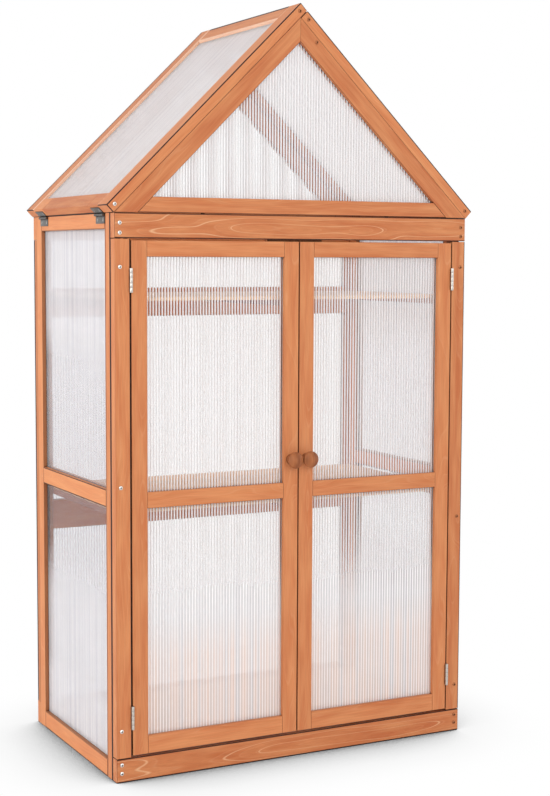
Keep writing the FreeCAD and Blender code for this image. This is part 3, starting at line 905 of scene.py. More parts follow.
@dataclass(frozen=True)
class PlatedSteel:
    """Stamped steel under thin plating: a soft metal sheen with fine rolling marks."""

    name: str
    colour: str
    roughness: float
    mark: float = 1.5 * MM
    dirt_and_shade_reach: float = 3.0 * MM

    def make(self) -> Material:
        """Build the material.

        Returns:
            The material.
        """
        material, tree = new_material(self.name)
        place = add_node(tree, "ShaderNodeTexCoord").outputs["Object"]
        # The rolling marks are drawn far wider than the real ones, so that they show
        rolled = {"Vector": place, "Scale": 1 / self.mark, "Detail": 2.0, "Roughness": 0.6}
        marks = add_node(tree, "ShaderNodeTexNoise", rolled)
        sheen = {0: marks, 3: self.roughness - 0.07, 4: self.roughness + 0.1}
        gloss = add_node(tree, "ShaderNodeMapRange", sheen)
        relief = add_node(tree, "ShaderNodeBump", {"Strength": 0.2, "Distance": 0.05 * MM, "Height": marks})
        shade = add_node(tree, "ShaderNodeMapRange", {0: marks, 1: 0.3, 2: 0.7, 3: 0.9, 4: 1.06})
        # Dirt and shadow sit in the recesses and between the knuckles
        near = {"Distance": self.dirt_and_shade_reach}
        hollow = add_node(tree, "ShaderNodeAmbientOcclusion", near, samples=8).outputs["AO"]
        dirt_and_shade = add_node(tree, "ShaderNodeMapRange", {0: hollow, 1: 0.55, 2: 0.92, 3: 0.03, 4: 1.0})
        clean = add_node(tree, "ShaderNodeMath", {0: shade, 1: dirt_and_shade}, operation="MULTIPLY")
        plating = {0: linear(self.colour)[:3], "Scale": clean}
        colour = add_node(tree, "ShaderNodeVectorMath", plating, operation="SCALE")
        face = {"Base Color": colour, "Metallic": 1.0, "Roughness": gloss, "Normal": relief}
        metal = add_node(tree, "ShaderNodeBsdfPrincipled", face)
        add_node(tree, "ShaderNodeOutputMaterial", {0: metal})
        return material


class Finishes:
    """Every finish on the greenhouse."""

    def __init__(self) -> None:
        """Make them all."""
        self.fir = StainedFir().make()
        # The slats get a paler fir: partly their own lighter colour, partly painted light that makes up for
        # the shade inside
        self.slat_fir = StainedFir("stained_fir_slats", "F6CCA4", "E8B488").make()
        self.knob_fir = StainedFir("stained_fir_knob", "C27645", "8A4A26").make()
        # A darker copy of the fir, painted shade for the cleats and battens under the shelves
        self.shaded_fir = StainedFir("stained_fir_painted_shade", "A86248", "7E3E2E").make()
        self.turned_fir = StainedFir("stained_fir_turned", own_grain=False).make()
        door_veil = ((0.06, 0.56), (0.24, 0.56), (0.31, 0.44), (0.4, 0.1), (0.46, 0.05))
        door = TwinWallSheet("twin_wall_skin_door", door_veil, 0.88, foot_colour="FFEADF")
        self.door_skin = door.make()
        low_veil = ((0.12, 0.85), (0.16, 0.6), (0.28, 0.6), (0.4, 0.03))
        high_veil = ((0.49, 0.03), (0.58, 0.25), (0.78, 0.3), (0.84, 0.66))
        tints = {"line_colour": "DCDCE4", "clear_colour": "F4F4F6"}
        self.side_skin = TwinWallSheet("twin_wall_skin_side", low_veil + high_veil, 0.22, **tints).make()
        self.plain_skin = TwinWallSheet("twin_wall_skin_plain", even_veil(0.08), 0.3).make()
        self.gable_skin = TwinWallSheet("twin_wall_skin_gable", even_veil(0.07), 0.95, 0.05).make()
        roof = TwinWallSheet("twin_wall_skin_roof", even_veil(0.7), 0.74, 0.5, roughness=0.4)
        self.roof_skin = roof.make()
        white = TwinWallSheet("twin_wall_rib", even_veil(0.94), glow=0.5, foot_colour="FFEADF")
        self.white_web = white.make()
        self.clear_web = TwinWallSheet("twin_wall_rib_clear", even_veil(0.05), 0.05).make()
        self.nickel = PlatedSteel("nickel_plated_steel", "C9C6C0", 0.34).make()
        self.screw = PlatedSteel("bright_zinc_screw", "EDEBE6", 0.3).make()
        # A darker brown copy of the screw finish, painted shade for screws on the right half and near the
        # apex
        self.shaded_screw = PlatedSteel("zinc_screw_painted_shade", "B27450", 0.5).make()
        self.dark = PlatedSteel("dark_zinc_steel", "6F6C69", 0.36).make()


@dataclass
class Glazing:
    """The sheets of one CAD node: a shell for the two skins and a row of webs inside it."""

    node: str
    body: str
    face: Vector
    web_along: Vector
    pitch: float = 6.0 * MM
    web: float = 0.45 * MM
    skin: float = 0.35 * MM
    arris: float = 0.15 * MM

    @property
    def across(self) -> Vector:
        """Direction from rib to rib."""
        return self.web_along.cross(self.face).normalized()

    def make(self, skin: Material, web: Material) -> None:
        """Build shell and webs.

        Args:
            skin: finish of the two skins.
            web: finish of the webs.
        """
        boards = [Board.from_points(points, self.face) for points in solids_of(self.node)]
        shell = joined([board.eased(self.arris) for board in boards])
        self.count_ribs(shell, boards)
        webs = joined([self.webs_of(board, web) for board in boards])
        settle(solid_object(self.node + "_shell", shell, skin), self.body, "twin_wall_sheet", self.node)
        settle(solid_object(self.node + "_webs", webs, web), self.body, "twin_wall_sheet")

    def count_ribs(self, mesh: Mesh, boards: list[Board]) -> None:
        """Number the ribs across each sheet, so that the skin can show where they join it.

        Args:
            mesh: the skins.
            boards: the sheets.
        """
        shell = bmesh.new()
        shell.from_mesh(mesh)
        rib = shell.verts.layers.float.new("rib")
        for group in islands(shell):
            middle = centre_of([vert.co for vert in group])
            board = min(boards, key=lambda each: (each.centre - middle).length)
            low, high = extent(board.outline, self.across)
            gaps = math.floor((high - low - self.pitch) / self.pitch)
            first = (high + low) / 2 - gaps * self.pitch / 2
            for vert in group:
                vert[rib] = (vert.co.dot(self.across) - first) / self.pitch
        shell.to_mesh(mesh)
        shell.free()

    def webs_of(self, board: Board, finish: Material) -> Mesh:
        """Grow one sheet's webs with Geometry Nodes.

        Args:
            board: the sheet.
            finish: finish of the webs.

        Returns:
            The webs, in place.
        """
        left, right = extent(board.outline, self.across)
        foot, top = extent(board.outline, self.web_along)
        sizes = {
            "Width": right - left - self.pitch,
            "Height": top - foot - 2 * self.skin,
            "Pitch": self.pitch,
            "Web": self.web,
            "Depth": board.thick - 2 * self.skin,
            "Fall": 2 * (top - foot) / (right - left) if len(board.outline) == 3 else 0.0,
        }
        mesh = grown(web_tree(), sizes, finish)
        middle = self.across * (right + left) / 2 + self.web_along * (foot + self.skin)
        middle += self.face * (extent(board.outline, self.face)[1] - board.thick / 2)
        frame = Matrix((self.across, self.face, self.web_along)).transposed().to_4x4()
        frame.translation = middle
        mesh.transform(frame)
        if frame.determinant() < 0:
            mesh.flip_normals()
        return mesh


def start_tree(name: str, sizes: dict[str, float]) -> tuple[NodeTree, Node]:
    """Start a Geometry Nodes tree with named inputs.

    Args:
        name: name of the tree.
        sizes: input names with their usual values.

    Returns:
        The tree and its group input.
    """
    tree = bpy.data.node_groups.new(name, "GeometryNodeTree")
    tree.interface.new_socket("Geometry", in_out="INPUT", socket_type="NodeSocketGeometry")
    for label, value in sizes.items():
        kind = "NodeSocketInt" if isinstance(value, int) else "NodeSocketFloat"
        socket = tree.interface.new_socket(label, in_out="INPUT", socket_type=kind)
        socket.default_value = value
    tree.interface.new_socket("Finish", in_out="INPUT", socket_type="NodeSocketMaterial")
    tree.interface.new_socket("Geometry", in_out="OUTPUT", socket_type="NodeSocketGeometry")
    return tree, tree.nodes.new("NodeGroupInput")


def finish_tree(tree: NodeTree, copies: Node, finish: NodeSocket) -> None:
    """End a tree: make its instances real and give them their finish.

    Args:
        tree: the tree.
        copies: node that gives the instances.
        finish: the group input's finish.
    """
    real = add_node(tree, "GeometryNodeRealizeInstances", {0: copies})
    painted = add_node(tree, "GeometryNodeSetMaterial", {0: real, "Material": finish})
    add_node(tree, "NodeGroupOutput", {0: painted})


@cache
def web_tree() -> NodeTree:
    """Tree that stands webs side by side across a sheet, shorter towards the sides of a gable.

    Returns:
        The tree.
    """
    usual = {"Width": 0.3, "Height": 0.4, "Pitch": 0.006, "Web": 0.0005, "Depth": 0.0033, "Fall": 0.0}
    tree, given = start_tree("twin_wall_webs", usual)
    size = given.outputs
    steps = add_node(tree, "ShaderNodeMath", {0: size["Width"], 1: size["Pitch"]}, operation="DIVIDE")
    whole = add_node(tree, "ShaderNodeMath", {0: steps}, operation="FLOOR")
    count = add_node(tree, "ShaderNodeMath", {0: whole, 1: 1.0}, operation="ADD")
    reach = add_node(tree, "ShaderNodeMath", {0: whole, 1: size["Pitch"]}, operation="MULTIPLY")
    first = add_node(tree, "ShaderNodeMath", {0: reach, 1: -0.5}, operation="MULTIPLY")
    start = add_node(tree, "ShaderNodeCombineXYZ", {0: first})
    step = add_node(tree, "ShaderNodeCombineXYZ", {0: size["Pitch"]})
    spots = {"Count": count, "Start Location": start, "Offset": step}
    row = add_node(tree, "GeometryNodeMeshLine", spots, mode="OFFSET")
    place = add_node(tree, "GeometryNodeInputPosition")
    apart = add_node(tree, "ShaderNodeSeparateXYZ", {0: place})
    aside = add_node(tree, "ShaderNodeMath", {0: apart}, operation="ABSOLUTE")
    lost = add_node(tree, "ShaderNodeMath", {0: aside, 1: size["Fall"]}, operation="MULTIPLY")
    tall = add_node(tree, "ShaderNodeMath", {0: size["Height"], 1: lost}, operation="SUBTRACT")
    kept = add_node(tree, "ShaderNodeMath", {0: tall, 1: 1 * MM}, operation="MAXIMUM")
    stretch = add_node(tree, "ShaderNodeCombineXYZ", {0: 1.0, 1: 1.0, 2: kept})
    section = add_node(tree, "ShaderNodeCombineXYZ", {0: size["Web"], 1: size["Depth"], 2: 1.0})
    block = add_node(tree, "GeometryNodeMeshCube", {"Size": section})
    stood = add_node(tree, "GeometryNodeTransform", {"Geometry": block, "Translation": (0, 0, 0.5)})
    set_up = {"Points": row, "Instance": stood, "Scale": stretch}
    finish_tree(tree, add_node(tree, "GeometryNodeInstanceOnPoints", set_up), size["Finish"])
    return tree


@cache
def slat_tree() -> NodeTree:
    """Tree that lays equal boards side by side, each with round arrises, a grain and a tone of its own.

    Returns:
        The tree.
    """
    usual = {"Count": 6, "Pitch": 0.07, "Length": 0.7, "Width": 0.06, "Thick": 0.007}
    tree, given = start_tree("slats", {**usual, "Arris": 0.0015, "Seed": 1})
    size = given.outputs
    outline = {"Width": size["Width"], "Height": size["Thick"]}
    section = add_node(tree, "GeometryNodeCurvePrimitiveQuadrilateral", outline)
    easing = {"Curve": section, "Count": 2, "Radius": size["Arris"]}
    eased = add_node(tree, "GeometryNodeFilletCurve", easing, mode="POLY")
    half = add_node(tree, "ShaderNodeMath", {0: size["Length"], 1: 0.5}, operation="MULTIPLY")
    other = add_node(tree, "ShaderNodeMath", {0: size["Length"], 1: -0.5}, operation="MULTIPLY")
    start = add_node(tree, "ShaderNodeCombineXYZ", {0: other})
    end = add_node(tree, "ShaderNodeCombineXYZ", {0: half})
    line = add_node(tree, "GeometryNodeCurvePrimitiveLine", {"Start": start, "End": end})
    sawn = {"Curve": line, "Profile Curve": eased, "Fill Caps": True}
    board = add_node(tree, "GeometryNodeCurveToMesh", sawn)
    place = add_node(tree, "GeometryNodeInputPosition")
    vector = {"data_type": "FLOAT_VECTOR"}
    store, recall = "GeometryNodeStoreNamedAttribute", "GeometryNodeInputNamedAttribute"
    marks = {"Geometry": board, "Name": "grain", "Value": place}
    marked = add_node(tree, store, marks, domain="POINT", **vector)
    steps = add_node(tree, "ShaderNodeMath", {0: size["Count"], 1: 1.0}, operation="SUBTRACT")
    reach = add_node(tree, "ShaderNodeMath", {0: steps, 1: size["Pitch"]}, operation="MULTIPLY")
    first = add_node(tree, "ShaderNodeMath", {0: reach, 1: -0.5}, operation="MULTIPLY")
    row_start = add_node(tree, "ShaderNodeCombineXYZ", {1: first})
    row_step = add_node(tree, "ShaderNodeCombineXYZ", {1: size["Pitch"]})
    spots = {"Count": size["Count"], "Start Location": row_start, "Offset": row_step}
    row = add_node(tree, "GeometryNodeMeshLine", spots, mode="OFFSET")
    laid = add_node(tree, "GeometryNodeInstanceOnPoints", {"Points": row, "Instance": marked})
    least, most = (0.0, -PITH_SIDE, PITH_DEPTH[0]), (LOG_LENGTH, PITH_SIDE, PITH_DEPTH[1])
    log_range = {0: least, 1: most, "Seed": size["Seed"]}
    log = add_node(tree, "FunctionNodeRandomValue", log_range, **vector)
    tone_range = {2: 0.0, 3: 1.0, "Seed": size["Seed"]}
    tone = add_node(tree, "FunctionNodeRandomValue", tone_range, data_type="FLOAT")
    for name, value, kind in (("log", log, "FLOAT_VECTOR"), ("tone", tone, "FLOAT")):
        said = {"Geometry": laid, "Name": name, "Value": value}
        laid = add_node(tree, store, said, domain="INSTANCE", data_type=kind)
    real = add_node(tree, "GeometryNodeRealizeInstances", {0: laid})
    local = add_node(tree, recall, {"Name": "grain"}, **vector)
    offset = add_node(tree, recall, {"Name": "log"}, **vector)
    total = add_node(tree, "ShaderNodeVectorMath", {0: local, 1: offset}, operation="ADD")
    grain = {"Geometry": real, "Name": "grain", "Value": total}
    grained = add_node(tree, store, grain, domain="POINT", **vector)
    painted = add_node(tree, "GeometryNodeSetMaterial", {0: grained, "Material": size["Finish"]})
    add_node(tree, "NodeGroupOutput", {0: painted})
    return tree


@dataclass
class Slats:
    """Levels of equal boards, such as a floor or the shelves."""

    node: str
    seed: int
    arris: float = 1.5 * MM

    def make(self, finish: Material) -> None:
        """Build every level of the node.

        Args:
            finish: the boards' finish.
        """
        levels: dict[float, list[Board]] = {}
        for points in solids_of(self.node):
            board = Board.from_points(points, UP)
            levels.setdefault(round(board.centre.z, 4), []).append(board)
        grid = enumerate(levels.values(), start=self.seed)
        mesh = joined([self.level(boards, seed, finish) for seed, boards in grid])
        settle(solid_object(self.node + "_slats", mesh, finish), "cabinet", "stained_fir", self.node)

    def level(self, boards: list[Board], seed: int, finish: Material) -> Mesh:
        """Grow one level with Geometry Nodes.

        Args:
            boards: the level's boards as the CAD has them.
            seed: seed of their grain.
            finish: their finish.

        Returns:
            The mesh, in place.
        """
        along = boards[0].along
        across = UP.cross(along)
        spots = sorted(board.centre.dot(across) for board in boards)
        left, right = extent(boards[0].outline, along)
        near, far = extent(boards[0].outline, across)
        sizes = {
            "Count": len(boards),
            "Pitch": spots[1] - spots[0],
            "Length": right - left,
            "Width": far - near,
            "Thick": boards[0].thick,
            "Arris": self.arris,
            "Seed": seed,
        }
        mesh = grown(slat_tree(), sizes, finish)
        frame = Matrix((along, across, UP)).transposed().to_4x4()
        frame.translation = sum((board.centre for board in boards), Vector()) / len(boards)
        mesh.transform(frame)
        return mesh


@cache
def screw_tree() -> NodeTree:
    """Tree that sets a cross-recessed screw at each point, its head looking along the attribute "aim".

    Returns:
        The tree.
    """
    usual = {
        "Head radius": 0.0036,
        "Foot radius": 0.0036,
        "Rim": 0.0008,
        "Crown": 0.0012,
        "Arm": 0.0043,
        "Slot": 0.0012,
        "Pit": 0.0014,
        "Recess": 0.002,
        "Recess middle": 0.0017,
        "Shank radius": 0.0018,
        "Shank": 0.026,
        "Shank foot": -0.026,
        "Point radius": 0.0005,
        "Point": 0.004,
        "Point foot": -0.03,
        "Seed": 1,
    }
    tree, given = start_tree("screws", usual)
    size = given.outputs
    blank = {"Radius Top": size["Head radius"], "Radius Bottom": size["Foot radius"], "Depth": size["Rim"]}
    head = add_node(tree, "GeometryNodeMeshCone", {"Vertices": 24, "Fill Segments": 4, **blank})
    # The head's top swells into a low dome, while its underside, at height zero, stays flat
    place = add_node(tree, "GeometryNodeInputPosition")
    flat = add_node(tree, "ShaderNodeVectorMath", {0: place, 1: (1, 1, 0)}, operation="MULTIPLY")
    away = add_node(tree, "ShaderNodeVectorMath", {0: flat}, operation="LENGTH")
    part = add_node(tree, "ShaderNodeMath", {0: away, 1: size["Head radius"]}, operation="DIVIDE")
    square = add_node(tree, "ShaderNodeMath", {0: part, 1: 2.0}, operation="POWER")
    swell = add_node(tree, "ShaderNodeMath", {0: 1.0, 1: square}, operation="SUBTRACT")
    dome = add_node(tree, "ShaderNodeMath", {0: swell, 1: size["Crown"]}, operation="MULTIPLY")
    lift = add_node(tree, "ShaderNodeCombineXYZ", {2: dome})
    height = add_node(tree, "ShaderNodeSeparateXYZ", {0: place}).outputs[2]
    top = add_node(tree, "ShaderNodeMath", {0: height, 1: 0.1 * MM}, operation="GREATER_THAN")
    recessed = add_node(tree, "GeometryNodeSetPosition", {"Geometry": head, "Selection": top, "Offset": lift})
    middle = add_node(tree, "ShaderNodeCombineXYZ", {2: size["Recess middle"]})
    pit = {"Vertices": 12, "Radius": size["Pit"], "Depth": size["Recess"]}
    cutters = [add_node(tree, "GeometryNodeMeshCylinder", pit)]
    for across, wide in (("Arm", "Slot"), ("Slot", "Arm")):
        bar = add_node(tree, "ShaderNodeCombineXYZ", {0: size[across], 1: size[wide], 2: size["Recess"]})
        cutters.append(add_node(tree, "GeometryNodeMeshCube", {"Size": bar}))
    for cutter in cutters:
        sunk = add_node(tree, "GeometryNodeTransform", {"Geometry": cutter, "Translation": middle})
        cross = {"Mesh 1": recessed, "Mesh 2": sunk}
        recessed = add_node(tree, "GeometryNodeMeshBoolean", cross, operation="DIFFERENCE", solver="EXACT")
    whole = add_node(tree, "GeometryNodeJoinGeometry", {0: recessed})
    for stem, small in (("Shank", "Shank radius"), ("Point", "Point radius")):
        taper = {"Radius Top": size["Shank radius"], "Radius Bottom": size[small], "Depth": size[stem]}
        cone = add_node(tree, "GeometryNodeMeshCone", {"Vertices": 16, **taper})
        low = add_node(tree, "ShaderNodeCombineXYZ", {2: size[stem + " foot"]})
        hung = add_node(tree, "GeometryNodeTransform", {"Geometry": cone, "Translation": low})
        tree.links.new(hung.outputs[0], whole.inputs[0])
    aim = add_node(tree, "GeometryNodeInputNamedAttribute", {"Name": "aim"}, data_type="FLOAT_VECTOR")
    facing = add_node(tree, "FunctionNodeAlignRotationToVector", {"Vector": aim}, axis="Z")
    quarter = {2: 0.0, 3: math.pi / 2, "Seed": size["Seed"]}
    turn = add_node(tree, "FunctionNodeRandomValue", quarter, data_type="FLOAT")
    angle = add_node(tree, "ShaderNodeCombineXYZ", {2: turn})
    roll = add_node(tree, "FunctionNodeEulerToRotation", {0: angle})
    turned = {"Rotation": facing, "Rotate By": roll}
    driven = add_node(tree, "FunctionNodeRotateRotation", turned, rotation_space="LOCAL")
    set_in = {"Points": size["Geometry"], "Instance": whole, "Rotation": driven}
    finish_tree(tree, add_node(tree, "GeometryNodeInstanceOnPoints", set_in), size["Finish"])
    return tree


@dataclass
class Screws:
    """All screws of one CAD node, set with Geometry Nodes where the CAD has them.

    The recess is given in shares of the head's radius and height, the tip in shares of the shank's radius.
    """

    node: str
    body: str
    head: Head
    slot: str
    seed: int = 1
    pit: float = 0.44
    arm: float = 1.2
    cut: float = 0.34
    sunk: float = 0.85
    tip: float = 2.0
    point: float = 0.25

    def make(self, *finishes: tuple[str, Material, Callable[[Vector], bool]]) -> None:
        """Build one piece for each finish.

        Args:
            finishes: ending of the piece's name, its finish, and the test that picks its screws by place.
        """
        screws = [self.read(points) for points in solids_of(self.node)]
        replaced = [self.node]
        for ending, finish, picks in finishes:
            chosen = [screw for screw in screws if picks(screw[0])]
            if chosen:
                piece = solid_object(f"{self.node}_{ending}", self.grow(chosen, finish), finish)
                settle(piece, self.body, self.slot, *replaced)
                replaced = []

    def read(self, points: list[Vector]) -> tuple[Vector, Vector, float, float]:
        """Read one screw from its solid.

        Args:
            points: vertices of the solid.

        Returns:
            Its seat, outward direction, head radius and length below the seat.
        """
        cloud = numpy.array(points)
        centred = cloud - cloud.mean(axis=0)
        axis = Vector(numpy.linalg.eigh(centred.T @ centred)[1][:, 2])
        axis = max(square_directions(), key=lambda direction: abs(direction.dot(axis)))
        one = axis.orthogonal().normalized()
        two = axis.cross(one)
        line = [sum(extent(points, way)) / 2 for way in (one, two)]
        heights = [p.dot(axis) for p in points]
        radii = [math.hypot(p.dot(one) - line[0], p.dot(two) - line[1]) for p in points]
        middle = (min(heights) + max(heights)) / 2
        if sum(radius * radius * (height - middle) for radius, height in zip(radii, heights)) < 0:
            axis = -axis
            heights = [-height for height in heights]
        rim, crown, *_ = self.head.value
        seat = one * line[0] + two * line[1] + axis * (max(heights) - rim - crown)
        return seat, axis, max(radii), max(heights) - rim - crown - min(heights)

    def grow(self, screws: list[tuple[Vector, Vector, float, float]], finish: Material) -> Mesh:
        """Set the screws.

        Args:
            screws: seat, direction, head radius and length of each.
            finish: their finish.

        Returns:
            The mesh, in place.
        """
        rim, crown, upright, share = self.head.value
        batches = []
        for length in sorted({round(length, 4) for *_, length in screws}):
            alike = [screw for screw in screws if round(screw[3], 4) == length]
            radius = alike[0][2]
            shank = radius * share
            tip = self.tip * shank
            seats = bmesh.new()
            aim = seats.verts.layers.float_vector.new("aim")
            for seat, out, *_ in alike:
                seats.verts.new(seat)[aim] = out
            sizes = {
                "Head radius": radius,
                "Foot radius": radius if upright else shank,
                "Rim": rim,
                "Crown": crown,
                "Arm": radius * self.arm,
                "Slot": radius * self.cut,
                "Pit": radius * self.pit,
                "Recess": rim + crown,
                "Recess middle": (rim + crown) * self.sunk,
                "Shank radius": shank,
                "Shank": length - tip,
                "Shank foot": tip - length,
                "Point radius": shank * self.point,
                "Point": tip,
                "Point foot": -length,
                "Seed": self.seed,
            }
            batches.append(grown(screw_tree(), sizes, finish, mesh_of(seats)))
        return joined(batches)


@dataclass
class Knob:
    """Turned mushroom knob of a door, its radii and heights given in shares of the whole."""

    side: Side
    segments: int = 64
    rings: int = 10
    foot: float = 0.625
    neck: float = 0.5
    flare: float = 0.97
    crown: float = 0.95
    collar: float = 0.1
    waist: float = 0.32
    under: float = 0.62
    rim: float = 0.78
    edge: float = 0.4 * MM
    pith: tuple[float, float] = (4 * MM, 16 * MM)
    grain_stretch: float = 0.5

    def profile(self, radius: float, reach: float) -> list[tuple[float, float]]:
        """Outline from the foot to the crown's top.

        Args:
            radius: largest radius.
            reach: length from the door to the top.

        Returns:
            Radius and height of each ring.
        """
        foot, neck, collar = radius * self.foot, radius * self.neck, reach * self.collar
        points = [(foot - self.edge, 0.0), (foot, self.edge), (foot, collar - self.edge)]
        points += [(foot - self.edge, collar), (neck, reach * self.waist)]
        for step in range(1, self.rings + 1):
            turn = math.pi / 2 * step / self.rings
            flare = neck + (radius * self.flare - neck) * (1 - math.cos(turn))
            points.append((flare, reach * (self.waist + (self.under - self.waist) * math.sin(turn))))
        for step in range(1, self.rings + 1):
            turn = math.pi * (step / self.rings - 0.5)
            middle = (self.under + self.rim) / 2
            height = middle + (self.rim - self.under) / 2 * math.sin(turn)
            points.append((radius * (self.crown + (1 - self.crown) * math.cos(turn)), reach * height))
        for step in range(1, self.rings):
            share = step / self.rings
            dome = 1 - (1 - self.rim) * (1 - share) ** 2
            points.append((radius * self.crown * (1 - share), reach * dome))
        return points

    def make(self, finish: Material) -> None:
        """Build the knob.

        Args:
            finish: the turned wood.
        """
        node = self.side.word + "_knob"
        low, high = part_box(node)
        centre = (low + high) / 2
        shape = bmesh.new()
        grain = shape.verts.layers.float_vector.new("grain")
        tone = shape.verts.layers.float.new("tone")
        rings = []
        for radius, height in self.profile((high.x - low.x) / 2, high.y - low.y):
            ring = []
            for index in range(self.segments):
                turn = math.tau * index / self.segments
                aside, above = radius * math.sin(turn), radius * math.cos(turn)
                ring.append(shape.verts.new((centre.x + aside, high.y - height, centre.z + above)))
            rings.append(ring)
        for inner, outer in zip(rings, rings[1:]):
            for index in range(self.segments):
                after = (index + 1) % self.segments
                shape.faces.new((inner[index], inner[after], outer[after], outer[index]))
        foot = shape.verts.new((centre.x, high.y, centre.z))
        top = shape.verts.new((centre.x, low.y, centre.z))
        for index in range(self.segments):
            after = (index + 1) % self.segments
            shape.faces.new((foot, rings[0][after], rings[0][index]))
            shape.faces.new((top, rings[-1][index], rings[-1][after]))
        bmesh.ops.recalc_face_normals(shape, faces=shape.faces)
        for face in shape.faces:
            face.smooth = True
        for vert in shape.verts:
            offset = vert.co - centre
            depth = offset.y + self.pith[1] * self.side.value
            vert[grain] = Vector((offset.z * self.grain_stretch, offset.x + self.pith[0], depth))
            vert[tone] = 0.0
        piece = solid_object(node + "_turned", mesh_of(shape), finish)
        settle(piece, self.side.word + "_door", "stained_fir", node)


@dataclass
class Fitting:
    """Stamped fitting, such as a hinge leaf, with the soft edges that stamping and plating leave."""

    node: str
    body: str
    slot: str
    ease: float = 0.18 * MM
    weld: float = 0.001 * MM
    flat: float = math.radians(0.5)
    sharp: float = math.radians(32)

    def make(self, finish: Material) -> None:
        """Copy the CAD shape and ease its edges.

        Args:
            finish: its plating.
        """
        shape = bmesh.new()
        shape.from_mesh(FRAME["nodes"][self.node].data)
        bmesh.ops.remove_doubles(shape, verts=shape.verts, dist=self.weld)
        whole = {"verts": shape.verts, "edges": shape.edges}
        bmesh.ops.dissolve_limit(shape, angle_limit=self.flat, delimit={"NORMAL"}, **whole)
        crisp = [edge for edge in shape.edges if edge.is_manifold and edge.calc_face_angle() > self.sharp]
        ease = {"segments": 2, "affect": "EDGES", "clamp_overlap": True}
        bmesh.ops.bevel(shape, geom=crisp, offset=self.ease, profile=SOFT, **ease)
        bmesh.ops.triangulate(shape, faces=[face for face in shape.faces if len(face.verts) > 4])
        for face in shape.faces:
            face.smooth = True
        mesh = mesh_of(shape)
        mesh.set_sharp_from_angle(angle=self.sharp)
        settle(solid_object(self.node + "_stamped", mesh, finish), self.body, self.slot, self.node)


